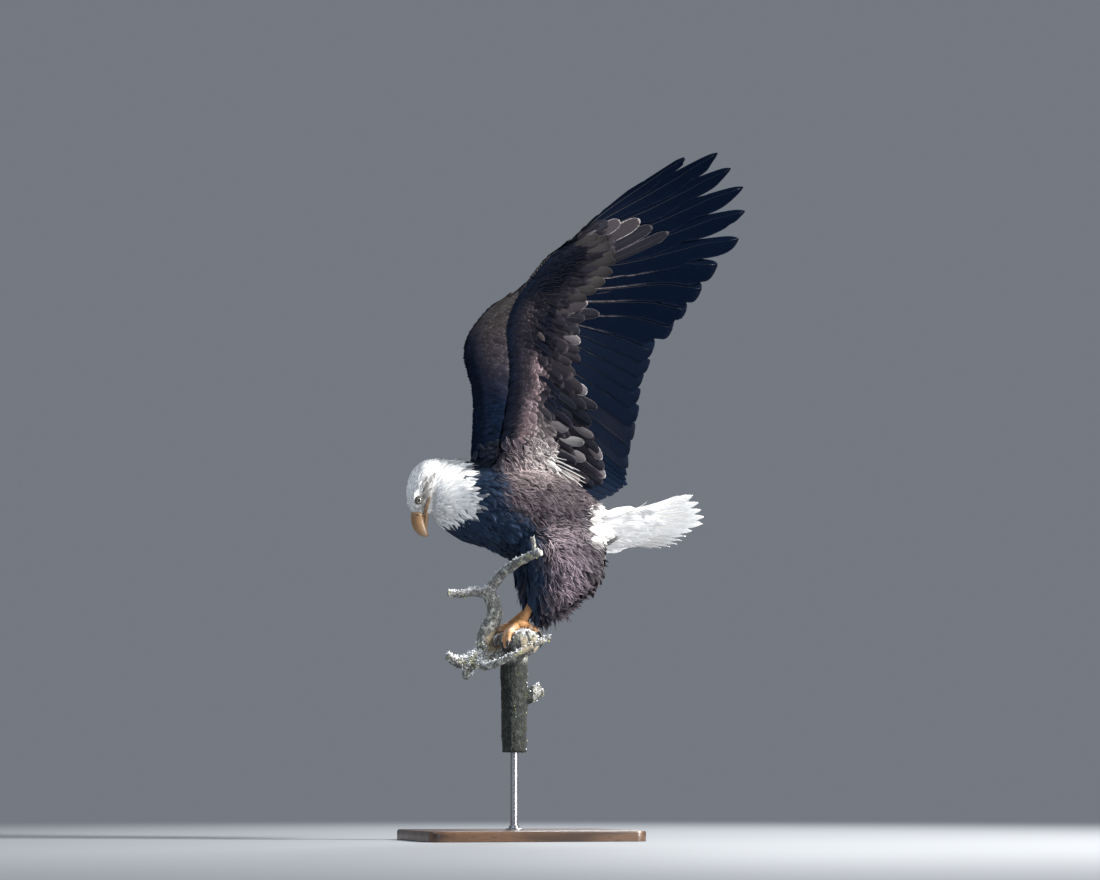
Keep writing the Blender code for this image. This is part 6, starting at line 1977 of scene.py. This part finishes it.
# ------------------------------------------------------------------ perch and feet
@dataclass
class Perch:
    """Cut piece of treetop: bark skin over trunk, cross piece, limbs and twig, with rime and lichen."""
    near: tuple = (0.075, -0.001, 0.449)
    far: tuple = (-0.09, -0.018, 0.446)
    radius: float = 0.033
    voxel: float = 0.0021             # cells of the bark's remesh
    knot: float = 0.003               # heights of the bark's knots, plates and grit
    plate: float = 0.0022
    grit: float = 0.0006

    def frame(self) -> tuple[Array, Array, Array, Array, float]:
        """Start, direction, forward and upward unit vectors and length of the cross piece."""
        start, end = np.array(self.near), np.array(self.far)
        d = unit(end - start)
        up = unit(np.array([0.0, 0.0, 1.0]) - d * d[2])
        forward = np.cross(up, d)
        forward = -forward if forward[1] > 0 else forward
        return start, d, forward, up, float(np.linalg.norm(end - start))

    def limbs(self) -> list:
        """Path, radii and upward hint of each limb."""
        start, d, _, _, length = self.frame()
        s = np.concatenate([[-0.055, -0.04, -0.018, 0.01], np.linspace(0.06, 1, 10)])
        log = start + d * (s[:, None] * length)
        rows = (
            (((0.0, -0.012, 0.2), (0.0, -0.0125, 0.32), (0.0, -0.013, 0.44)), 0.029, 0.033, (1, 0, 0)),
            (((-0.006, -0.02, 0.43), (-0.006, -0.07, 0.428), (0.000, -0.082, 0.464),
              (0.01, -0.062, 0.515), (0.014, -0.072, 0.555), (0.014, -0.09, 0.576)),
             0.0225, 0.016, (1, 0, 0)),
            (((0.014, -0.078, 0.562), (0.012, -0.11, 0.567), (0.01, -0.142, 0.562),
              (0.008, -0.174, 0.563)), 0.013, 0.0085, (1, 0, 0)),
            (((0.014, -0.08, 0.56), (0.022, -0.066, 0.588), (0.046, -0.048, 0.613), (0.095, -0.019, 0.635),
              (0.144, 0.012, 0.65)), 0.0145, 0.0095, (1, 0, 0)),
            (((0.124, -0.002, 0.642), (0.127, 0.001, 0.663), (0.127, -0.004, 0.686)),
             0.007, 0.0045, (1, 0, 0)),
            (((-0.006, -0.06, 0.43), (0.000, -0.105, 0.414), (0.000, -0.142, 0.404), (-0.006, -0.172, 0.422)),
             0.021, 0.0095, (1, 0, 0)),
            (((0.002, -0.104, 0.412), (0.008, -0.124, 0.392), (0.012, -0.13, 0.366)),
             0.017, 0.009, (1, 0, 0)),
            (((0.0, -0.012, 0.318), (0.004, 0.022, 0.33), (0.006, 0.05, 0.346)), 0.02, 0.017, (1, 0, 0)),
            (((0.006, -0.096, 0.412), (0.05, -0.092, 0.393), (0.09, -0.054, 0.41),
              (0.102, -0.008, 0.434), (0.105, 0.046, 0.46)), 0.0105, 0.0065, (0, 0, 1)))
        bulk = np.interp(s, (-0.055, -0.04, -0.018, 0.06, 0.94, 1), (0.4, 0.66, 0.84, 1, 1, 0.85))
        return [(log, bulk * self.radius, (0, 0, 1)),
                *((catmull(path, 28), np.linspace(first, last, 28), up) for path, first, last, up in rows)]

    def build(self, bark: Material, rime: Material) -> None:
        """Limbs under one skin, roughened by noise along its normals; crystals scattered on top."""
        piece = Piece()
        for path, radii, up in self.limbs():
            piece.tube(sweep(path, radii * 0.985, 28, up=up))
        obj = remeshed(piece, "perch_bark", self.voxel, 1)
        p, n = mesh_points(obj)
        knots = np.clip(noise(p, 0.034, 3), 0, 1) ** 2 * self.knot
        plates = np.abs(noise(p * (1, 1, 0.5), 0.0085, 4)) * self.plate
        grit = noise(p, 0.0036, 5) * self.grit
        _, d, _, _, length = self.frame()
        s = (p - np.array(self.near)) @ d
        around = np.linalg.norm(p - np.array(self.near) - s[:, None] * d, axis=1)
        wood = ((s < 0.004) & (around < 0.031)) | ((s > length - 0.004) & (around < 0.028) & (p[:, 0] < 0))
        wood = wood * np.clip(0.3 + 1.5 * noise(p, 0.013, 6) + 0.4 * noise(p, 0.004, 7), 0.0, 0.85)
        wedge = fall(p[:, 1], -0.064, 0.026) * fall(p[:, 2], 0.45, 0.034) * smoothstep(n[:, 0] / 0.3)
        wood = np.maximum(wood, smoothstep((wedge + 0.35 * noise(p, 0.01, 9) - 0.45) / 0.15))
        wood = np.where(p[:, 2] < 0.2025, 1.0, wood)
        split = fall(n[:, 0], 1.0, 0.4) * (s < 0.01) * fall(p[:, 1] + 0.35 * (p[:, 2] - 0.449), 0.003, 0.0018)
        rough = (knots + plates + grit - 0.0014) * (1 - 0.8 * wood) - 0.006 * split
        obj.data.vertices.foreach_set("co", (p + n * rough[:, None]).ravel())
        low = smoothstep((0.425 - p[:, 2]) / 0.03) * (np.hypot(p[:, 0], p[:, 1] + 0.012) < 0.045)
        paint(obj, "tint", blend((1.0, 1.0, 1.0), (0.09, 0.106, 0.096), low))
        paint(obj, "fringe", np.repeat((wood * (1 - np.clip(split * 3, 0, 1)))[:, None], 3, 1))
        finish_piece(obj, bark, ("perch",))
        self.crystals(obj, rime)

    def crystals(self, bark: Object, rime: Material) -> None:
        """Rime on what faces up and on the twig ends, and lichen leaves elsewhere, as small bent flakes."""
        rng = np.random.default_rng(71)
        p, n = mesh_points(bark)
        thin = smoothstep((np.abs(p[:, 1]) + np.abs(p[:, 0]) - 0.055) / 0.06)
        up = smoothstep((n[:, 2] - 0.15) / 0.6)
        knob = np.linalg.norm(p - np.array([0.004, -0.105, 0.415]), axis=1) < 0.04
        cloud = noise(p, 0.016, 8)
        ends = smoothstep((np.abs(p[:, 1] + 0.06) - 0.06) / 0.05)
        chance = (0.06 * up + 0.24 * up * thin * (cloud > -0.3) + 0.45 * knob + 0.012 * (cloud > 0.3)
                  + 0.03 * ends)
        pick = np.flatnonzero(rng.uniform(0, 1, len(p)) < chance * 0.42)
        p, n, up, cloud, knob = p[pick], n[pick], up[pick], cloud[pick], knob[pick]
        count = len(p)
        flake = Vane((0.0, 0.5, 1.0), (0.55, 1.0, 0.35), 3, 0.35, 0.0009, 0.15, 0.25)
        s = np.asarray(flake.stations)[None, :, None]
        away = unit(rng.normal(0, 1, (count, 3)) * 0.9 + n * 0.8)
        length = rng.uniform(0.0022, 0.0058, (count, 1, 1)) * (1 + 0.5 * knob[:, None, None])
        path = (p - n * 0.0008)[:, None] + away[:, None] * length * s + n[:, None] * 0.0006 * s
        white = rng.uniform(0, 1, count) < np.clip(0.25 + up + knob * 0.35, 0, 1)
        leaf = blend((0.3, 0.32, 0.2), (0.5, 0.46, 0.14), (cloud > 0.25) * 0.8 + knob * 0.4)
        tint = np.where(white[:, None], (0.8, 0.82, 0.84), np.clip(leaf, 0, 1))
        normal = np.repeat(unit(np.cross(away, rng.normal(size=(count, 3))))[:, None], 3, 1)
        piece = Piece()
        root = np.stack([0.5 + p[:, 1] * 3.0, (p[:, 2] - 0.19) * 2.2], -1) % 1.0
        flake.lay(piece, path, normal, rng.uniform(0.0011, 0.0026, count), root, wear(tint, rng, 0.06), tint,
                  rng, 0.5)
        finish_piece(piece.object("rime"), rime)


@dataclass
class Foot:
    """One shank, foot and its four claws, wrapped round the cross piece."""
    side: Side
    perch: Perch
    toes: tuple = (0.04, 0.058, 0.074, 0.06)          # hind, inner, middle, outer
    drift: tuple = (0.0, -0.013, 0.003, 0.022)
    claws: tuple = (0.041, 0.036, 0.034, 0.029)
    toe_radius: float = 0.0078
    claw_radius: float = 0.0048
    shank: float = 0.092
    scute: float = 0.0011             # height of the plates on the shank
    skin: Colour = (0.66, 0.33, 0.12)
    pale: Colour = (0.8, 0.56, 0.39)

    @property
    def seat(self) -> float:
        """Place along the cross piece."""
        return 0.215 if self.side is Side.LEFT else 0.76

    @property
    def lifts(self) -> tuple:
        """How far hind and front toes stand off the wood."""
        return (0.009, 0.0) if self.side is Side.LEFT else (0.0, 0.022)

    def wrap(self, first: float, last: float, drift: float, heights: Array, count: int) -> Array:
        """Path round the cross piece from one angle to another, drifting along it."""
        start, d, forward, up, length = self.perch.frame()
        t = np.linspace(0.0, 1.0, count)
        ang = first + (last - first) * t
        lift = self.perch.radius + profile(t, heights)
        base = start + d * (self.seat * length)
        return (base - (drift * self.side.value * t)[:, None] * d
                + (lift * np.sin(ang))[:, None] * forward + (lift * np.cos(ang))[:, None] * up)

    def scutes(self, rings: Array, number: float, depth: float, top: Array) -> Array:
        """Raise broad overlapping plates on the side that faces top: a saw wave along the part."""
        n = len(rings)
        saw = np.linspace(0, number, n) % 1.0
        middle = rings.mean(1, keepdims=True)
        out = unit(rings - middle)
        facing = smoothstep(((out * top[:, None]).sum(-1) + 0.1) / 0.7)
        return rings + out * (facing * (depth * (1 - saw) ** 0.7 - depth * 0.4)[:, None])[..., None]

    def build(self, scaly: Material, horn: Material) -> None:
        """Make shank, foot and claws."""
        start, d, _, up, length = self.perch.frame()
        low = start + d * (self.seat * length) + up * (self.perch.radius + 0.012)
        lean = unit(np.array([0.03, 0.44, 0.86] if self.side is Side.LEFT else [-0.03, 0.76, 0.62]))
        t = np.linspace(0, 1, 90)
        radii = profile(t, (0.0105, 0.0092, 0.0095, 0.0105, 0.009))
        path = low - lean * 0.004 + lean * self.shank * t[:, None]
        rings = sweep(path, radii, 22, up=(1.0, 0, 0))
        shank = Piece()
        shank.tube(self.scutes(rings, 15, self.scute, np.tile(-np.array([0, 1.0, -0.3]), (90, 1))),
                   np.array(self.skin) * 0.95)
        shank.solid(f"shank_{self.side.label}", scaly, (f"tarsus_{self.side.label}",))
        foot = Piece()
        inner = self.wrap(0.42, -0.42, 0.0, (0.0105, 0.0125, 0.0105), 24)
        pad = profile(np.linspace(0, 1, 24), (0.0066, 0.01, 0.0104, 0.0098, 0.0066))
        foot.tube(sweep(inner, pad, 20, pad * 1.45), np.array(self.skin))
        r = self.toe_radius
        for number in range(4):
            way = -1.0 if number == 0 else 1.0
            lift = self.lifts[0 if number == 0 else 1]
            end = way * (self.toes[number] / (self.perch.radius + r + lift / 2) + 0.06)
            heights = np.array([1.1, 1.08, 1.0, 0.94, 0.88]) * r + lift * np.linspace(0, 1, 5) ** 2
            path = self.wrap(0.02 * way, end, self.drift[number], heights, 64)
            t = np.linspace(0, 1, 64)
            joints = 1 + 0.1 * np.cos(t * 2 * math.pi * (2 if number == 0 else 3) + 0.6)
            size = r * profile(t, (0.8, 1.06, 1.0, 0.95, 0.88, 0.62)) * joints
            rings = sweep(path, size, 18)
            top = unit(path - (path[:1] + path[-1:]) / 2 + up * 0.01)
            tint = blend(self.skin, self.pale, 0.5 + 0.5 * np.cos(t * 12.0))
            foot.tube(self.scutes(rings, 14, 0.001, top), tint)
            self.claw(number, end, way, lift, horn)
        foot.solid(f"toes_{self.side.label}", scaly, (f"foot_{self.side.label}",))

    def claw(self, number: int, end: float, way: float, lift: float, horn: Material) -> None:
        """One black talon: a tapering curve, deeper than wide, grooved beneath."""
        r, radius = self.claw_radius, self.perch.radius
        turn = self.claws[number] / (radius + r + lift) * 1.02
        heights = np.array([r + 0.003, r + 0.0046, r + 0.0026, 0.003]) + lift
        path = self.wrap(end - way * 0.05, end + way * turn, 0.0, catmull(heights[:, None], 16)[:, 0], 40)
        path = path - self.drift[number] * self.side.value * self.perch.frame()[1]
        t = np.linspace(0, 1, 40)
        size = r * profile(t, (1.02, 0.98, 0.88, 0.68, 0.42, 0.07))
        rings = sweep(path, size, 16, size * 0.86)
        piece = Piece()
        tint = blend((0.03, 0.027, 0.026), (0.012, 0.011, 0.012), smoothstep(t / 0.5))
        piece.tube(rings, tint)
        tag = f"{self.side.label}_{number}"
        piece.solid(f"talon_{tag}", horn, (f"claw_{tag}",))


@dataclass
class Stand:
    """Hardwood base with an eased rim, the steel rod and a collar where it enters the wood."""
    size: tuple = (0.4, 0.5)
    height: float = 0.024
    corner: float = 0.03
    crease: float = 35.0              # degrees past which an edge stays sharp
    rod: tuple = (0.0, -0.012, 0.009)

    def build(self, wood: Material, steel: Material, rod: Object) -> None:
        """Base as rounded rectangles carried up an eased profile; the rod keeps its solid."""
        inset = np.array([0.0012, 0.0, 0.0, 0.0, 0.0006, 0.0022, 0.005])
        level = np.array([0.0, 0.0012, 0.01, 0.0185, 0.0212, 0.0232, self.height])
        a = np.linspace(0, 2 * math.pi, 97)[:-1]
        corner = self.corner - inset[:, None]
        x = np.sign(np.cos(a)) * (self.size[0] / 2 - self.corner) + corner * np.cos(a)
        y = np.sign(np.sin(a)) * (self.size[1] / 2 - self.corner) + corner * np.sin(a)
        rings = np.stack([x, y, np.repeat(level[:, None], 96, 1)], -1)
        piece = Piece()
        piece.tube(rings)
        piece.solid("stand_board", wood, ("stand_base",), crease=self.crease)
        collar = Piece()
        turned = np.array([(0.0094, 0.0), (0.02, 0.0), (0.02, 0.0016), (0.0185, 0.003), (0.0125, 0.0042),
                           (0.0118, 0.009), (0.0108, 0.01), (0.0094, 0.01)])
        a = a[::2]
        ring = turned[:, None, :1] * np.stack([np.cos(a), np.sin(a)], -1)
        z = np.repeat(self.height + turned[:, None, 1:], len(a), 1)
        collar.tube(np.concatenate([ring + np.array(self.rod[:2]), z], -1))
        collar.solid("stand_collar", steel, crease=self.crease)
        for slot in rod.material_slots:
            slot.material = steel


# ------------------------------------------------------------------ studio
@dataclass(frozen=True)
class Studio:
    """Floor, surround, soft lights and the camera."""
    target: tuple = (0.0, 0.073, 0.929)
    eye: tuple = (5.6435, -1.4392, 0.1079)
    lens: float = 82.166
    reaches: tuple = (2.0, 6.0, 20.0, 60.0)             # radii of the floor's rings
    lamps: tuple = (
        # place, power, size, colour
        ((2.1, 3.1, 2.9), 540.0, 0.8, (1.0, 0.965, 0.92)),
        ((3.6, -2.6, 1.2), 26.0, 2.4, (0.7, 0.82, 1.0)),
        ((-3.2, 1.6, 2.8), 110.0, 1.4, (0.95, 0.97, 1.0)),
        ((3.4, 3.4, 0.75), 140.0, 1.2, (0.96, 0.97, 1.0)),
        ((0.5, -3.4, 3.2), 56.0, 2.2, (0.84, 0.92, 1.0)))

    def build(self) -> None:
        """Make all of it."""
        scene = bpy.context.scene
        a = np.linspace(0, 2 * math.pi, 65)[:-1]
        ring = np.stack([np.cos(a), np.sin(a), 0 * a], -1)
        verts = (np.array(self.reaches)[:, None, None] * ring).reshape(-1, 3)
        n, rows = len(a), len(self.reaches)
        tris = np.stack([np.full(n, rows * n), np.arange(n), (np.arange(n) + 1) % n], -1)
        disc = Piece()
        disc.add(np.vstack([verts, np.zeros((1, 3))]), wall(rows, n)[:, ::-1], tris)
        floor = disc.object("floor")
        finish = FloorFinish("floor", roughness=0.75, specular=0.2)
        floor.data.materials.append(finish.material())
        world = bpy.data.worlds.new("surround")
        world.use_nodes = True
        world.node_tree.nodes["Background"].inputs[0].default_value = (*finish.far, 1.0)
        world.node_tree.nodes["Background"].inputs[1].default_value = 1.0
        scene.world = world
        for k, (place, power, size, colour) in enumerate(self.lamps):
            data = bpy.data.lights.new(f"lamp_{k}", "AREA")
            data.energy, data.size, data.color = power, size, colour
            self.aimed(data, place)
        data = bpy.data.cameras.new("camera")
        data.lens, data.sensor_width, data.clip_end = self.lens, 36.0, 200.0
        scene.camera = self.aimed(data, self.eye)
        scene.view_settings.view_transform = "Standard"

    def aimed(self, data: bpy.types.ID, place: tuple) -> Object:
        """A lamp or camera set at a place and turned to the target."""
        obj = linked(data.name, data)
        obj.location = place
        obj.rotation_euler = (Vector(self.target) - Vector(place)).to_track_quat("-Z", "Y").to_euler()
        return obj


# ------------------------------------------------------------------ whole bird
def around(p: Array) -> Array:
    """Unwrap of the trunk: round it, and along it."""
    return np.stack([0.5 + np.arctan2(p[:, 0], p[:, 2] - 0.76) / (2 * math.pi),
                     (p[:, 1] + 0.29) / 0.56], -1)


def on_head(p: Array) -> Array:
    """Unwrap of the head: round its axis, and away from the bill."""
    f, u, x = HEAD.local(p)
    polar = np.arctan2(np.hypot(u + 0.02, x), f + 0.04) / math.pi
    return np.stack([0.5 + np.arctan2(x, u + 0.02) / (2 * math.pi), polar], -1)


def on_leg(p: Array) -> Array:
    """Unwrap of the legs: round each, and down it; the right leg beside the left."""
    turn = 0.5 + np.arctan2(p[:, 1] - 0.09, np.abs(p[:, 0]) - 0.057) / (2 * math.pi)
    return np.stack([turn * 0.49 + 0.5 * (p[:, 0] < 0), (p[:, 2] - 0.47) / 0.27], -1)


def headward(p: Array) -> Array:
    """True on the white head and upper neck."""
    return Body.whiteness(p) > 0.5


def legward(p: Array) -> Array:
    """True on the trousers."""
    return (p[:, 2] < 0.69) & (p[:, 1] > -0.045) & ~headward(p)


def main() -> None:
    """Build the bird, its perch, the stand and the studio in turn."""
    logging.basicConfig(level=logging.INFO, format="%(message)s")
    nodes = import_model()["nodes"]
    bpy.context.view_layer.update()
    Studio().build()
    skin_finish = SkinFinish("down", roughness=0.9, specular=0.2).material()
    brown = FeatherFinish("brown feathers", roughness=0.75, sheen=0.02, specular=0.08, rim=0.55,
                          shaft_colour=(0.022, 0.02, 0.025)).material()
    white = FeatherFinish("white feathers", roughness=0.7, specular=0.3, barbs=18.0, slant=5.0,
                          shaft=0.07, shaft_colour=(0.74, 0.73, 0.7), rim=0.55).material()
    covert = FeatherFinish("coverts", roughness=0.8, specular=0.02, barbs=40.0, slant=9.0, shaft=0.05,
                           rim=0.7, shaft_colour=(0.022, 0.021, 0.026)).material()
    lobe = FeatherFinish("large coverts", roughness=0.62, specular=0.1, barbs=70.0, slant=16.0, shaft=0.045,
                         rim=0.83, shaft_colour=(0.03, 0.027, 0.031), relief=0.3).material()
    quill = FeatherFinish("quills", roughness=0.6, specular=0.01, barbs=150.0, slant=26.0, shaft=0.0,
                          rim=0.84, relief=0.25).material()
    shaft = HornFinish("shafts", roughness=0.42).material()
    bill = HornFinish("bill horn", roughness=0.36, coat=0.15, subsurface=0.12).material()
    claw = HornFinish("claw horn", roughness=0.24, coat=0.3, lines=5.0, relief=0.06).material()
    flesh = ScaleFinish("gape skin", roughness=0.5, size=900.0, relief=0.2).material()
    scaly = ScaleFinish("foot skin", roughness=0.46).material()
    bark, rime = BarkFinish("bark", roughness=0.88).material(), RimeFinish("rime", roughness=0.6).material()
    wet = EyeFinish("eye", roughness=0.25, coat=1.0).material()
    wood, steel = WoodFinish("board", coat=0.2).material(), SteelFinish("steel", metallic=1.0).material()
    perch = Perch()
    perch.build(bark, rime)
    Stand().build(wood, steel, nodes["stand_rod"])
    beak = Bill()
    beak.build(bill)
    Tail().build(white)
    for side in Side:
        Eye(side).build(wet, flesh)
        Foot(side, perch).build(scaly, claw)
    body = Body()
    wings = [Wing(side) for side in Side]
    skin = body.skin(wings, skin_finish)
    for wing in wings:
        wing.quills(quill)
        wing.shafts(shaft)
        for face in Face:
            wing.coverts(face, covert)
        wing.lobes(lobe)
    plumage = Plumage(body, skin, wings)
    beak.gape(flesh, plumage)
    hackle = Vane((0.0, 0.3, 0.6, 0.85, 1.0), (0.5, 1.0, 0.94, 0.58, 0.14), 3, 0.35, 0.0005, 0.1, 0.1)
    contour = Vane((0.0, 0.26, 0.52, 0.74, 0.9, 1.0), (0.4, 0.84, 1.0, 0.9, 0.6, 0.14), 5, 0.32,
                   0.0005, 0.26, 0.34)
    spiky = Vane((0.0, 0.25, 0.5, 0.74, 0.9, 1.0), (0.4, 0.9, 1.0, 0.76, 0.44, 0.08), 5, 0.3,
                 0.0005, 0.2, 0.2)
    plumage.grow("hackles", headward, on_head, hackle, white, seed=31)
    plumage.grow("trousers", legward, on_leg, spiky, brown, seed=32, share=0.9)
    for side in Side:
        plumage.grow(f"coat_{side.label}", lambda p: (p[:, 0] * side.value >= 0) & ~headward(p) & ~legward(p),
                     around, contour, brown, seed=33 + (side is Side.RIGHT), share=0.95)
        plumage.wisps(f"wisps_{side.label}", 40000, lambda p: p[:, 0] * side.value >= 0, around, brown,
                      seed=41 + (side is Side.RIGHT))


if __name__ == "__main__":
    main()
